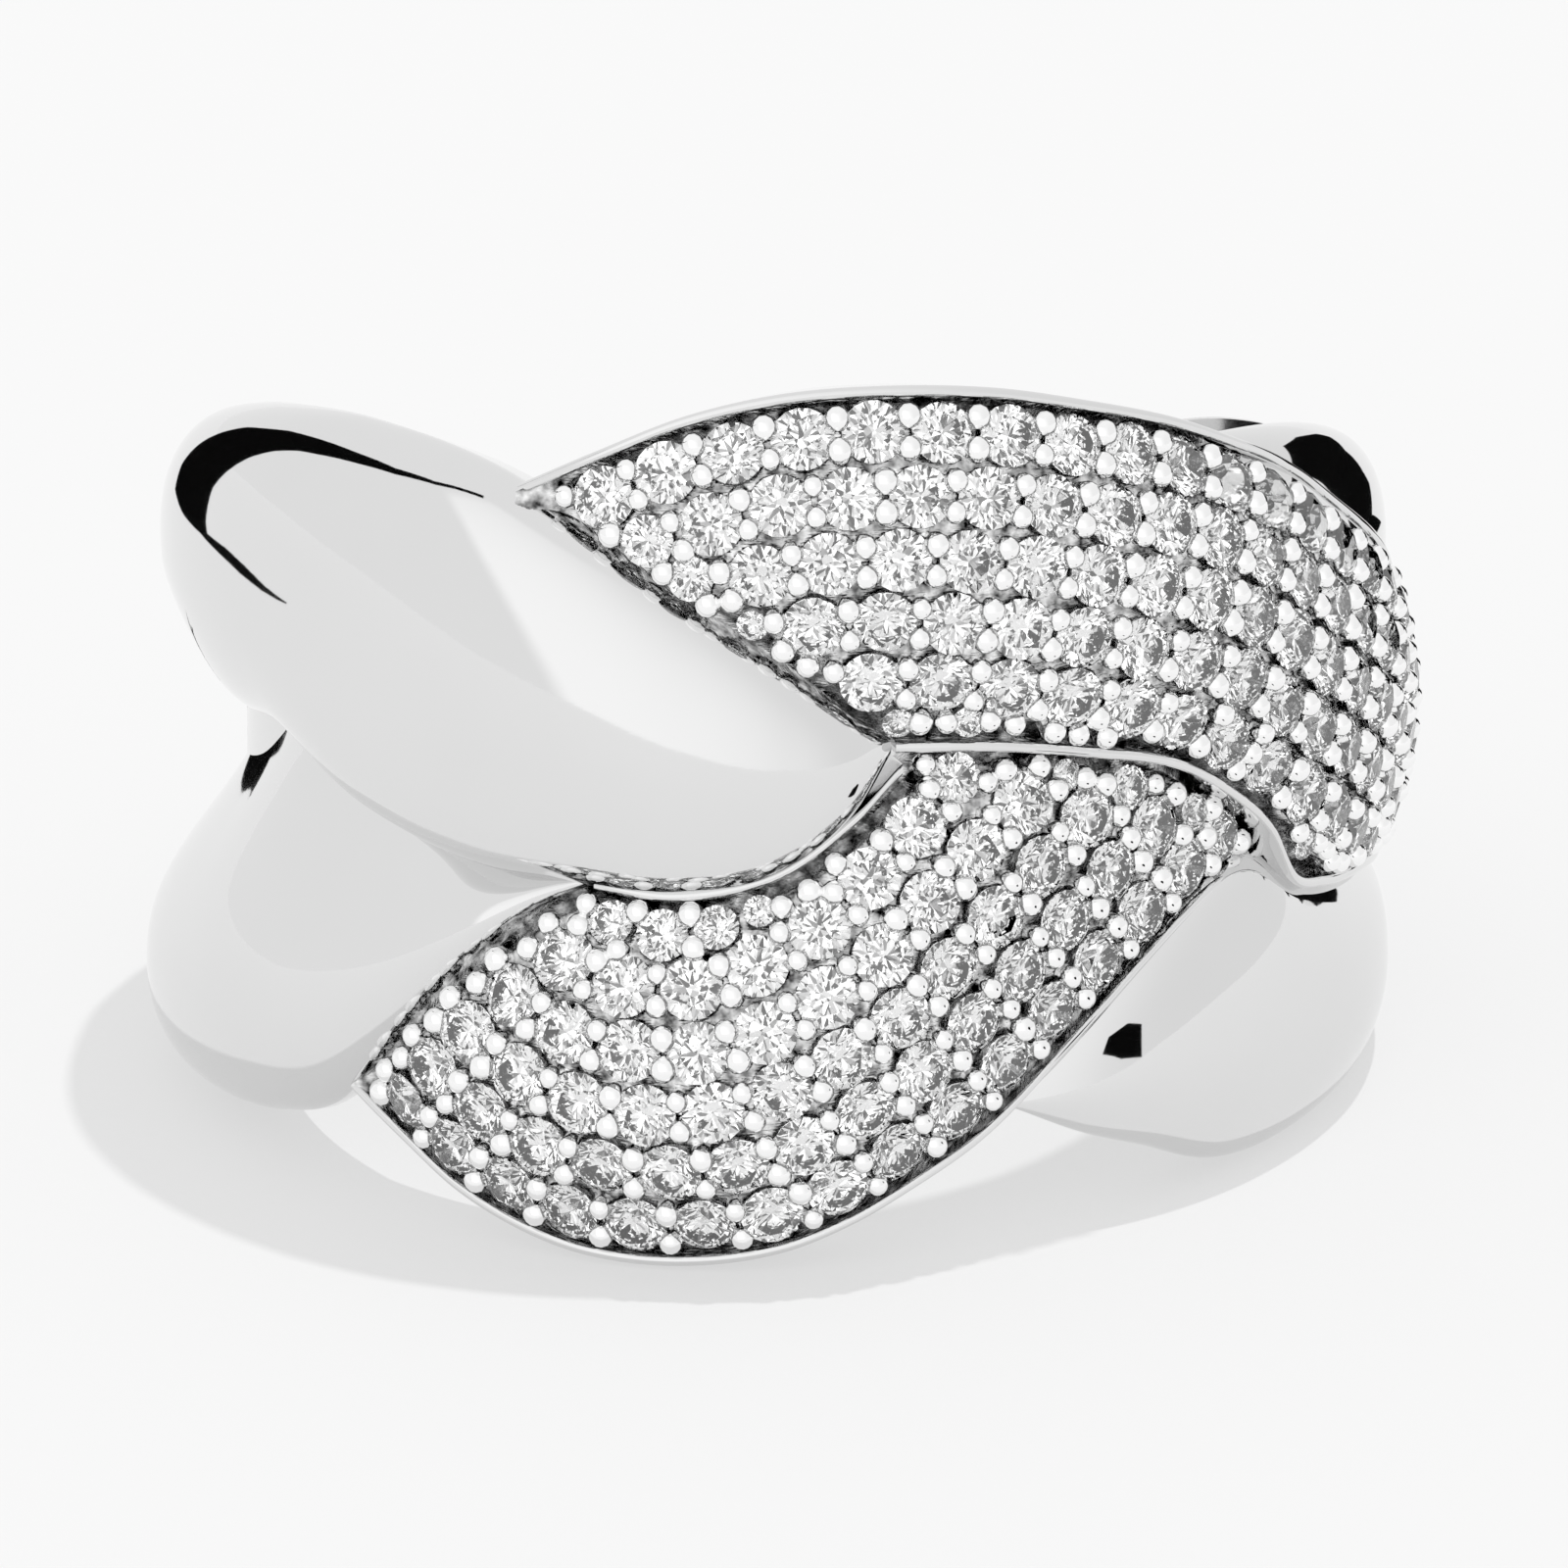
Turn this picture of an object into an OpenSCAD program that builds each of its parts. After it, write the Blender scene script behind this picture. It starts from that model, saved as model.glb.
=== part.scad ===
// A crossover ring. Six leaves run round a finger bore like a loose three-strand braid.
// Four leaves are polished and two are set with rows of small round stones. The leaves
// meet in a plain shank at the back. Millimetres, Z up, the front faces -Y. The ring
// lies on its side as it rests: on the low rim of the front and on the two lower leaves.

/* [Finger bore] */
// Diameter of the finger bore
bore_d = 17.3; // [15:0.1:21]

/* [Band] */
// Width of the front along the bore
front_w = 15.4; // [14:0.1:17]
// Height of the highest leaf over the bore
crest_h = 2.7; // [2.3:0.05:3.2]
// Width of the shank at the back
shank_w = 4.2; // [3.4:0.1:5]
// Thickness of the shank at the back
shank_t = 1.6; // [1.3:0.05:2]

/* [Stones] */
// Diameter of a stone
stone_d = 1.0; // [0.9:0.02:1.2]
// Clear space between two stones of a row
stone_gap = 0.24; // [0.12:0.01:0.4]
// Clear space between two rows of stones
row_gap = 0.12; // [0.11:0.01:0.4]
// Clear space between a stone's point and the metal under it
seat_gap = 0.05; // [0.03:0.01:0.12]
// Width of the polished rims beside the stones
rim_w = 0.22; // [0.16:0.02:0.4]

/* [Hidden] */
$fn = 96;
bore_r = bore_d / 2;
half_w = front_w / 2;
shank_half_w = shank_w / 2;
grain = 0.001;                // what a point of the metal is rounded to
cut_in = 0.4;                 // how far the leaves reach into the bore before it is cut
cut_step = 0.06;              // how much deeper each leaf reaches than the one before
step_a = 5;                   // angle between two sections of a leaf
step_least = 1.5;             // least angle between a leaf's tip and its next section
side_a = 100;                 // beyond this angle the leaves run into the shank
back_a = 170;                 // where they end inside it
leaf_n = 13;                  // points across a polished leaf
bed_n = 7;                    // points across the metal under the stones
roll = 2.3;                   // how squarely a polished leaf rolls over at its edges
lean_free = 0.6;              // how far a polished leaf's outer wall leans in, down to the bore
lean_rim = 0.35;              // the same for a rim's wall
lean_share = 0.3;             // the most a wall leans in, a share of the leaf's width there
row_r = bore_r + 0.6 * crest_h;   // radius on which the rows of stones are laid out

// Proportions of a stone, as shares of its diameter
table_share = 0.56;
crown_share = 0.15;
girdle_share = 0.04;
point_share = 0.41;
crown_h = crown_share * stone_d;
girdle_h = girdle_share * stone_d;
point_h = point_share * stone_d;
bed_h = crown_h + girdle_h + point_h + seat_gap;   // from the stones' tables to the metal
pitch = stone_d + stone_gap;
row_pitch = stone_d + row_gap;
row_count = floor(half_w / row_pitch);
stone_lip = 0.03;             // least space between a stone and the rim or leaf beside it
field_end = (stone_d / 2 + stone_lip) / row_r * 180 / PI;   // the same as an angle
row_steps = 6;                // points in a row's pitch where the leaf's slope is followed
row_start = 0.27;             // where a row's first stone may stand, a share of the pitch

// A leaf's table has a row for each section. The angle is seen from the front, positive
// to the right. Both edges are shares of half_w along the bore. The heights at the middle,
// the upper edge and the lower edge are shares of crest_h over the bore.
// angle, upper edge, lower edge, middle height, upper height, lower height
LEFT_TOP = [                  // polished, upper left, its tip at the middle of the front
    [-100, 0.665, 0.03, 0.78, 0.25, 0.1], [-90, 0.705, 0.06, 0.81, 0.28, 0.12],
    [-75, 0.786, 0.101, 0.86, 0.34, 0.16], [-60, 0.836, 0.141, 0.9, 0.4, 0.3],
    [-45, 0.847, 0.01, 0.95, 0.46, 0.42], [-30, 0.786, -0.111, 1, 0.52, 0.48],
    [-20, 0.675, -0.151, 1, 0.56, 0.5], [-10, 0.524, -0.166, 0.98, 0.58, 0.52],
    [0, 0.368, -0.111, 0.92, 0.58, 0.54], [7, 0.242, 0.03, 0.78, 0.58, 0.56],
    [10.3, 0.191, 0.156, 0.6, 0.57, 0.57]];
LEFT_LOW = [                  // polished, lower left, its tip under the first leaf
    [-100, 0.04, -0.695, 0.84, 0.1, 0.25], [-90, 0.071, -0.756, 0.89, 0.12, 0.28],
    [-75, 0.111, -0.786, 0.89, 0.16, 0.34], [-60, 0.171, -0.776, 0.89, 0.28, 0.38],
    [-50, 0.091, -0.716, 0.88, 0.36, 0.42], [-40, 0.01, -0.549, 0.86, 0.42, 0.46],
    [-30, -0.071, -0.333, 0.8, 0.46, 0.48], [-24, -0.101, -0.212, 0.7, 0.48, 0.49],
    [-19, -0.111, -0.151, 0.58, 0.5, 0.5]];
UPPER = [                     // stones, from the upper left round the right side
    [-25.5, 0.753, 0.252, 0.76, 0.74, 0.52], [-18, 0.836, 0.212, 0.82, 0.74, 0.54],
    [-9, 0.927, 0.181, 0.88, 0.74, 0.57], [0, 0.978, 0.166, 0.92, 0.73, 0.61],
    [10, 0.993, 0.161, 0.94, 0.73, 0.66], [20, 0.978, 0.156, 0.96, 0.72, 0.71],
    [30, 0.932, 0.126, 0.96, 0.71, 0.73], [40, 0.872, 0.076, 0.96, 0.68, 0.73],
    [48, 0.806, -0.02, 0.95, 0.67, 0.71], [54, 0.752, -0.121, 0.94, 0.68, 0.69],
    [58, 0.705, -0.237, 0.93, 0.7, 0.67], [64, 0.625, -0.272, 0.92, 0.73, 0.66],
    [76, 0.49, -0.282, 0.91, 0.75, 0.66], [90, 0.336, -0.292, 0.89, 0.73, 0.65],
    [100, 0.252, -0.282, 0.86, 0.7, 0.63]];
LOWER = [                     // stones, the crescent low on the front
    [-47.5, -0.202, -0.675, 0.62, 0.5, 0.58], [-40, -0.161, -0.781, 0.76, 0.54, 0.58],
    [-34, -0.141, -0.872, 0.84, 0.58, 0.57], [-27, -0.131, -0.947, 0.9, 0.6, 0.56],
    [-20, -0.131, -0.993, 0.95, 0.62, 0.56], [-10, -0.151, -1.008, 0.98, 0.66, 0.56],
    [0, -0.091, -0.973, 0.99, 0.68, 0.57], [7, 0.03, -0.907, 0.96, 0.66, 0.58],
    [12, 0.141, -0.842, 0.89, 0.58, 0.58], [20, 0.242, -0.726, 0.78, 0.48, 0.57],
    [30, 0.383, -0.524, 0.66, 0.45, 0.56], [40, 0.504, -0.343, 0.58, 0.42, 0.54],
    [47, 0.574, -0.247, 0.54, 0.4, 0.52], [53, 0.625, -0.202, 0.52, 0.38, 0.5]];
RIGHT_LOW = [                 // polished, lower right, under both fields of stones
    [24, -0.605, -0.675, 0.42, 0.3, 0.38], [32, -0.438, -0.746, 0.6, 0.3, 0.36],
    [40, -0.297, -0.796, 0.7, 0.3, 0.34], [48, -0.191, -0.847, 0.75, 0.3, 0.34],
    [54, -0.151, -0.852, 0.77, 0.3, 0.33], [60, -0.202, -0.836, 0.77, 0.28, 0.32],
    [70, -0.237, -0.796, 0.76, 0.24, 0.3], [80, -0.247, -0.746, 0.73, 0.2, 0.28],
    [90, -0.247, -0.685, 0.7, 0.16, 0.25], [100, -0.237, -0.615, 0.68, 0.14, 0.22]];
RIGHT_TOP = [                 // polished, upper right, behind the upper field
    [40, 0.857, 0.403, 0.6, 0.4, 0.4], [54, 0.847, 0.343, 0.7, 0.36, 0.36],
    [65, 0.806, 0.282, 0.71, 0.32, 0.32], [78, 0.736, 0.222, 0.71, 0.28, 0.25],
    [90, 0.655, 0.161, 0.68, 0.25, 0.22], [100, 0.595, 0.131, 0.65, 0.22, 0.2]];

// A leaf is its table, the shares of the shank's half width that its edges run into, and
// its place in the order of depth
left_top = [LEFT_TOP, [0.9, 0], 1];
left_low = [LEFT_LOW, [0.04, -0.9], 2];
upper = [UPPER, [0.45, -0.45], 3];
lower = [LOWER, [0, 0], 4];
right_low = [RIGHT_LOW, [-0.2, -0.9], 5];
right_top = [RIGHT_TOP, [0.9, 0.2], 6];

left_tip = 10.3;              // angles where leaves, fields and rims begin and end
left_low_tip = -19;
right_low_from = 24;
right_top_from = 40;
upper_from = -25.5;
upper_to = 104;
upper_rim_from = 11;
lower_from = -47.5;
lower_to = 51;
cove_from = -18.4;
cove_to = 11.5;
rim_in = 0.6;                 // how much sooner a rim ends than its field's metal

shank_mid = 0.8;              // heights where the leaves end in the shank, shares of shank_t
shank_edge = 0.3;
shank_brow = 0.45;            // height of the shank's own edges, a share of its thickness
shank_full = 40;              // angle over which the shank rises out of the leaves
shank_start = 0.1;            // share of its thickness that it starts with, inside them
shank_inset = 0.75;           // how far inside their edges it starts, clear of their leaning walls

liner_hi = 0.35;              // edges of the sleeve behind the seams, shares of half_w
liner_lo = -0.42;
liner_h = 0.27;               // its height, a share of crest_h

// Smooth curves through a table's column
function clamp(v, lo, hi) = max(lo, min(hi, v));
function mix(a, b, k) = a + (b - a) * k;
function ease(k) = let (u = clamp(k, 0, 1)) u * u * (3 - 2 * u);
function row(t, a, i = 0) = i >= len(t) - 2 || a < t[i + 1][0] ? i : row(t, a, i + 1);
function secant(t, c, i) = (t[i + 1][c] - t[i][c]) / (t[i + 1][0] - t[i][0]);
function slope(t, c, i) =
    i == 0 ? secant(t, c, 0) :
    i == len(t) - 1 ? secant(t, c, i - 1) :
    (secant(t, c, i - 1) + secant(t, c, i)) / 2;
function pick(t, c, a) =
    let (b = clamp(a, t[0][0], t[len(t) - 1][0]), i = row(t, b),
         w = t[i + 1][0] - t[i][0], u = (b - t[i][0]) / w)
    (2 * u + 1) * (1 - u) * (1 - u) * t[i][c] + u * u * (3 - 2 * u) * t[i + 1][c]
    + w * u * (1 - u) * ((1 - u) * slope(t, c, i) - u * slope(t, c, i + 1));

// A point at an angle from the front, a radius and a height along the bore
function place(a, r, z) = [r * sin(a), -r * cos(a), z];

// The edges and heights of a leaf at an angle
function fade(a) = sin(90 * clamp((abs(a) - side_a) / (back_a - side_a), 0, 1));
function edge_z(leaf, side, a) =
    mix(half_w * pick(leaf[0], side, a), shank_half_w * leaf[1][side - 1], fade(a));
function height_r(leaf, column, a) =
    let (end = shank_t * (column == 3 ? shank_mid : shank_edge))
    bore_r + mix(crest_h * pick(leaf[0], column, a), end, fade(a));
function leaf_r(leaf, a, t, dome) =
    let (up = height_r(leaf, 4, a), low = height_r(leaf, 5, a))
    mix(low, up, (t + 1) / 2) + (height_r(leaf, 3, a) - (up + low) / 2) * dome;
function rolled(t) = pow(max(0, 1 - pow(abs(t), roll)), 1 / roll);
function cambered(t) = 1 - t * t;

// Where the ring touches the surface it lies on, and the direction that is then upright
rest_top = height_r(lower, 5, -12);
rest_lean = lean_rim * (rest_top - bore_r) / (rest_top - foot_r(lower));
rest_front = place(-12, bore_r, edge_z(lower, 2, -12) + rest_lean);
rest_right = place(74, height_r(right_low, 5, 74), edge_z(right_low, 2, 74));
rest_left = place(-88, height_r(left_low, 5, -88), edge_z(left_low, 2, -88));
rest_cross = cross(rest_right - rest_front, rest_left - rest_front);
rest_n = rest_cross / norm(rest_cross);

// Sections of equal count joined into one closed solid, its points kept to a thousandth
module loft(sections) {
    n = len(sections[0]);
    last = len(sections) - 1;
    polyhedron(
        points = [for (s = sections, p = s) [for (v = p) round(v / grain) * grain]],
        faces = [
            [for (j = [n - 1:-1:0]) j],
            for (i = [0:last - 1], j = [0:n - 1]) each [
                [i * n + j, (i + 1) * n + (j + 1) % n, (i + 1) * n + j],
                [i * n + j, i * n + (j + 1) % n, (i + 1) * n + (j + 1) % n]],
            [for (j = [0:n - 1]) last * n + j]]);
}

// Angles of a leaf's sections: both ends, and whole steps between them. The phase is a
// share of a step, and no two pieces have the same one.
function angles(from, to, phase) =
    let (off = phase * step_a, first = ceil((from + step_least - off) / step_a),
         last = floor((to - step_least - off) / step_a))
    [from, for (i = [first:last]) i * step_a + off, to];
function phase_of(leaf) = leaf[2] / 7;
function back_of(leaf) = back_a + 0.7 * leaf[2];
function foot_r(leaf) = bore_r - cut_in - cut_step * leaf[2];

// A polished leaf: rolled over at both edges, down to the bore. A free edge's wall leans in.
module polished(leaf, from, to, lean_up, lean_low) {
    loft([for (a = angles(from, to, phase_of(leaf)))
        let (hi = edge_z(leaf, 1, a), lo = edge_z(leaf, 2, a), most = lean_share * (hi - lo))
        [place(a, foot_r(leaf), lo + min(lean_low, most)),
         for (j = [0:leaf_n - 1]) let (t = sin(180 * j / (leaf_n - 1) - 90))
             place(a, leaf_r(leaf, a, t, rolled(t)), mix(lo, hi, (t + 1) / 2)),
         place(a, foot_r(leaf), hi - min(lean_up, most))]]);
}

// The metal under a field of stones, which runs on under its neighbours
module bed(leaf, from, to, lean_up, lean_low) {
    loft([for (a = angles(from, to, phase_of(leaf)))
        let (hi = edge_z(leaf, 1, a), lo = edge_z(leaf, 2, a), most = lean_share * (hi - lo),
             reach = 1 - rim_w / (hi - lo))
        [place(a, foot_r(leaf), lo + min(lean_low, most) + rim_w / 2),
         for (j = [0:bed_n - 1]) let (t = reach * (2 * j / (bed_n - 1) - 1))
             place(a, leaf_r(leaf, a, t, cambered(t)) - bed_h, mix(lo, hi, (t + 1) / 2)),
         place(a, foot_r(leaf), hi - min(lean_up, most) - rim_w / 2)]]);
}

// A rim along one edge of a field, level with the stones' tables
module rim(leaf, side, from, to, lean) {
    inward = side == 1 ? -1 : 1;
    loft([for (a = angles(from, to, phase_of(leaf) + side / 20))
        let (z = edge_z(leaf, side, a), r = height_r(leaf, side + 3, a), in = z + inward * rim_w,
             most = lean_share * (edge_z(leaf, 1, a) - edge_z(leaf, 2, a)),
             foot = inward * min(lean, most),
             deep = foot_r(leaf) - cut_step / 2,
             outer = [place(a, deep, z + foot), place(a, r, z)],
             inner = [place(a, r, in), place(a, deep, in + foot)])
        side == 1 ? [inner[1], inner[0], outer[1], outer[0]] : concat(outer, inner)]);
}

// The sleeve between the leaves and the finger, which closes the seams from inside
module liner() {
    loft([for (a = angles(-side_a - step_a, side_a + step_a, 1 / 14))
        [for (p = [[-cut_in, liner_lo], [liner_h * crest_h, liner_lo],
                   [liner_h * crest_h, liner_hi], [-cut_in, liner_hi]])
            place(a, bore_r + p.x, half_w * p.y)]]);
}

// The shank: one rounded band that rises out of the leaves and closes the ring behind
function shank_z(leaf, side, a, dir) =
    mix(half_w * pick(leaf[0], side, a) - dir * shank_inset, dir * shank_half_w, fade(a));
module shank() {
    loft([for (a = angles(side_a, 360 - side_a, 0))
        let (b = a > 180 ? a - 360 : a, out = abs(b) - side_a,
             hi = shank_z(b > 0 ? right_top : left_top, 1, b, 1),
             lo = shank_z(b > 0 ? right_low : left_low, 2, b, -1),
             h = shank_t * mix(shank_start, 1, ease(out / shank_full)))
        [place(a, bore_r - cut_in, lo + lean_free),
         for (j = [0:leaf_n - 1]) let (t = sin(180 * j / (leaf_n - 1) - 90))
             place(a, bore_r + h * mix(shank_brow, 1, rolled(t)), mix(lo, hi, (t + 1) / 2)),
         place(a, bore_r - cut_in, hi - lean_free)]]);
}

module metal() resize([0, 0, front_w]) {
    polished(left_top, -back_of(left_top), left_tip, lean_free, 0);
    polished(left_low, -back_of(left_low), left_low_tip, 0, lean_free);
    polished(right_low, right_low_from, back_of(right_low), 0, lean_free);
    polished(right_top, right_top_from, back_of(right_top), lean_free, 0);
    bed(upper, upper_from, upper_to + rim_in, lean_rim, 0);
    rim(upper, 1, upper_from + rim_in, upper_to + 2 * rim_in, lean_rim);
    rim(upper, 2, upper_rim_from, upper_to + 3 * rim_in, 0);
    polished(upper, upper_to, back_of(upper), 0, 0);
    bed(lower, lower_from, lower_to, 0, lean_rim);
    rim(lower, 1, cove_from, cove_to, 0);
    rim(lower, 2, lower_from + rim_in, lower_to - rim_in, lean_rim);
    liner();
    shank();
}

// The ring turned so that it rests on its low rim and on the two lower leaves
module at_rest() rotate(a = acos(rest_n.z), v = cross(rest_n, [0, 0, 1])) children();

module band() color("gainsboro") at_rest() difference() {
    metal();
    cylinder(r = bore_r, h = 2 * front_w, center = true);
}

// Rows of stones run beside one edge of a field, each a row's pitch further in over the
// leaf. A row is traced on the unrolled band, laid on the leaf, and filled at equal steps.
function unroll(leaf, side, a) = [row_r * a * PI / 180, edge_z(leaf, side, a)];
function angle_of(p) = p.x / row_r * 180 / PI;
function on_skin(leaf, p) =
    let (a = angle_of(p), hi = edge_z(leaf, 1, a), lo = edge_z(leaf, 2, a),
         t = clamp((2 * p.y - hi - lo) / (hi - lo), -1.1, 1.1))
    place(a, leaf_r(leaf, a, t, cambered(t)), p.y);
function sums(points) =
    [for (i = 0, s = 0; i < len(points); i = i + 1,
          s = s + (i < len(points) ? norm(points[i] - points[i - 1]) : 0)) s];
function find(list, s, i = 0) = i >= len(list) - 2 || list[i + 1] > s ? i : find(list, s, i + 1);
function at_length(points, run, s) =
    let (i = find(run, s)) mix(points[i], points[i + 1], (s - run[i]) / (run[i + 1] - run[i]));
function ladder(leaf, side, a, steps) =
    let (d = unroll(leaf, side, a + 0.5) - unroll(leaf, side, a - 0.5),
         inward = (side == 1 ? 1 : -1) * [d.y, -d.x] / norm(d),
         walk = [for (i = [0:1 / row_steps:len(steps)])
                 unroll(leaf, side, a) + i * row_pitch * inward],
         run = sums([for (p = walk) on_skin(leaf, p)]))
    [for (s = steps) at_length(walk, run, s)];

// A fence keeps stones above (1) or below (-1) an edge, between two angles
function fenced(p, f) =
    let (a = angle_of(p), near = f[5] + stone_d / 2 + stone_lip)
    (a < f[2] || a > f[3] || f[4] * (p.y - edge_z(f[0], f[1], a)) > 0)
    && min([for (b = [f[2]:1.5:f[3]]) norm(p - unroll(f[0], f[1], b))]) >= near;

function field(leaf, side, from, to, fences) =
    let (steps = [for (k = [0:row_count - 1]) rim_w + (stone_d + row_gap) / 2 + k * row_pitch],
         ladders = [for (a = [from:1.5:to]) ladder(leaf, side, a, steps)])
    [for (k = [0:row_count - 1])
        let (line = [for (l = ladders) l[k]], run = sums([for (p = line) on_skin(leaf, p)]),
             length = run[len(run) - 1])
        for (s = [pitch * (row_start + (k % 2) / 2):pitch:length])
            let (p = at_length(line, run, s), a = angle_of(p))
            if (a > from && a < to && min([for (f = fences) fenced(p, f) ? 1 : 0]) == 1) p];

// A round stone: an eight-sided table, eight crown facets, a girdle and eight facets below
module stone() {
    r = stone_d / 2;
    corner = [for (i = [0:7]) [cos(45 * i), sin(45 * i)]];
    polyhedron(
        points = [
            for (c = corner) [each r * table_share * c, 0],
            for (c = corner) [each r * c, -crown_h],
            for (c = corner) [each r * c, -crown_h - girdle_h],
            [0, 0, -crown_h - girdle_h - point_h]],
        faces = [
            [for (i = [7:-1:0]) i],
            for (k = [0:1], i = [0:7]) [k * 8 + i, k * 8 + (i + 1) % 8,
                                        k * 8 + 8 + (i + 1) % 8, k * 8 + 8 + i],
            for (i = [0:7]) [16 + i, 16 + (i + 1) % 8, 24]]);
}

module set_stones(leaf, spots) {
    for (p = spots) {
        here = on_skin(leaf, p);
        along = on_skin(leaf, p + [0.05, 0]) - here;
        up = on_skin(leaf, p + [0, 0.05]) - here;
        n = cross(along, up) / norm(cross(along, up));
        translate(here) rotate([0, acos(n.z), atan2(n.y, n.x)]) stone();
    }
}

module upper_stones() color("white") at_rest()
    set_stones(upper, field(upper, 1, upper_from, upper_to - field_end, [
        [left_top, 1, upper_from, left_tip, 1, 0],
        [upper, 2, upper_rim_from, upper_to, 1, rim_w]]));

module lower_stones() color("white") at_rest()
    set_stones(lower, field(lower, 2, lower_from, lower_to, [
        [left_low, 2, lower_from, left_low_tip, -1, 0],
        [lower, 1, cove_from, cove_to, -1, rim_w],
        [upper, 2, upper_rim_from, lower_to, -1, 0]]));

band();
upper_stones();
lower_stones();
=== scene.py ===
import math

import bpy
import numpy as np
from mathutils import Matrix, Vector


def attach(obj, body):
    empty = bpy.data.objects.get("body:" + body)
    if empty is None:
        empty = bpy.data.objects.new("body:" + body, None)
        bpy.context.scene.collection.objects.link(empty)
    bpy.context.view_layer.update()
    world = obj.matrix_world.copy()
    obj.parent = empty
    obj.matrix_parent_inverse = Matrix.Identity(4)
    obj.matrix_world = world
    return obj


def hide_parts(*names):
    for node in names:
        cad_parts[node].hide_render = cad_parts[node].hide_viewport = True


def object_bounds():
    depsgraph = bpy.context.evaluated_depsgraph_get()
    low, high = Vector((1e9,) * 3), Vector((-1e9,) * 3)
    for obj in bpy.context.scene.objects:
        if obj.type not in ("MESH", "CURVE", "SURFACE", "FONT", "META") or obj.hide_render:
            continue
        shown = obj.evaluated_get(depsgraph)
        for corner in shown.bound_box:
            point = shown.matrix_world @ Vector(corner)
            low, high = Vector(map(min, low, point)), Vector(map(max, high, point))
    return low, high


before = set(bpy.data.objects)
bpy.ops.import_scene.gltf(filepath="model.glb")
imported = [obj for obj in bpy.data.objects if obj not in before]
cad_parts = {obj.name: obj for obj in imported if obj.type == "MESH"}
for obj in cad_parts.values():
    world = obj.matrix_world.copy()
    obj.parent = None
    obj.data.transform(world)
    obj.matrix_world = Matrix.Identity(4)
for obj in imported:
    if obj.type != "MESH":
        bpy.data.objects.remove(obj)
cadLow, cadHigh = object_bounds()

millimetre = 0.001
rng = np.random.default_rng(7)

# The ring's own sizes in millimetres, as the solids have them
ring = {
    "boreRadius": 8.65,
    "frontWidth": 15.4,
    "crestHeight": 2.7,
    "shankWidth": 4.2,
    "shankThickness": 1.6,
    "sideAngle": 100.0,      # beyond it the leaves run into the shank
    "backAngle": 170.0,
    "endMiddle": 0.8,        # heights of the leaves' ends there, as shares of the shank's
    "endEdge": 0.3,
    "footDepth": 0.4,        # how far inside the bore the walls would end, if it didn't cut them
    "footStep": 0.06,        # and how much further for each leaf in their order
    "rimLean": 0.35,         # how far a wall under a rim leans in, down to there
    "restAngles": (-12.0, 74.0, -88.0),     # where the ring touches what it lies on
}
boreRadius, rimLean = ring["boreRadius"], ring["rimLean"]
halfWidth = ring["frontWidth"] / 2

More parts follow.
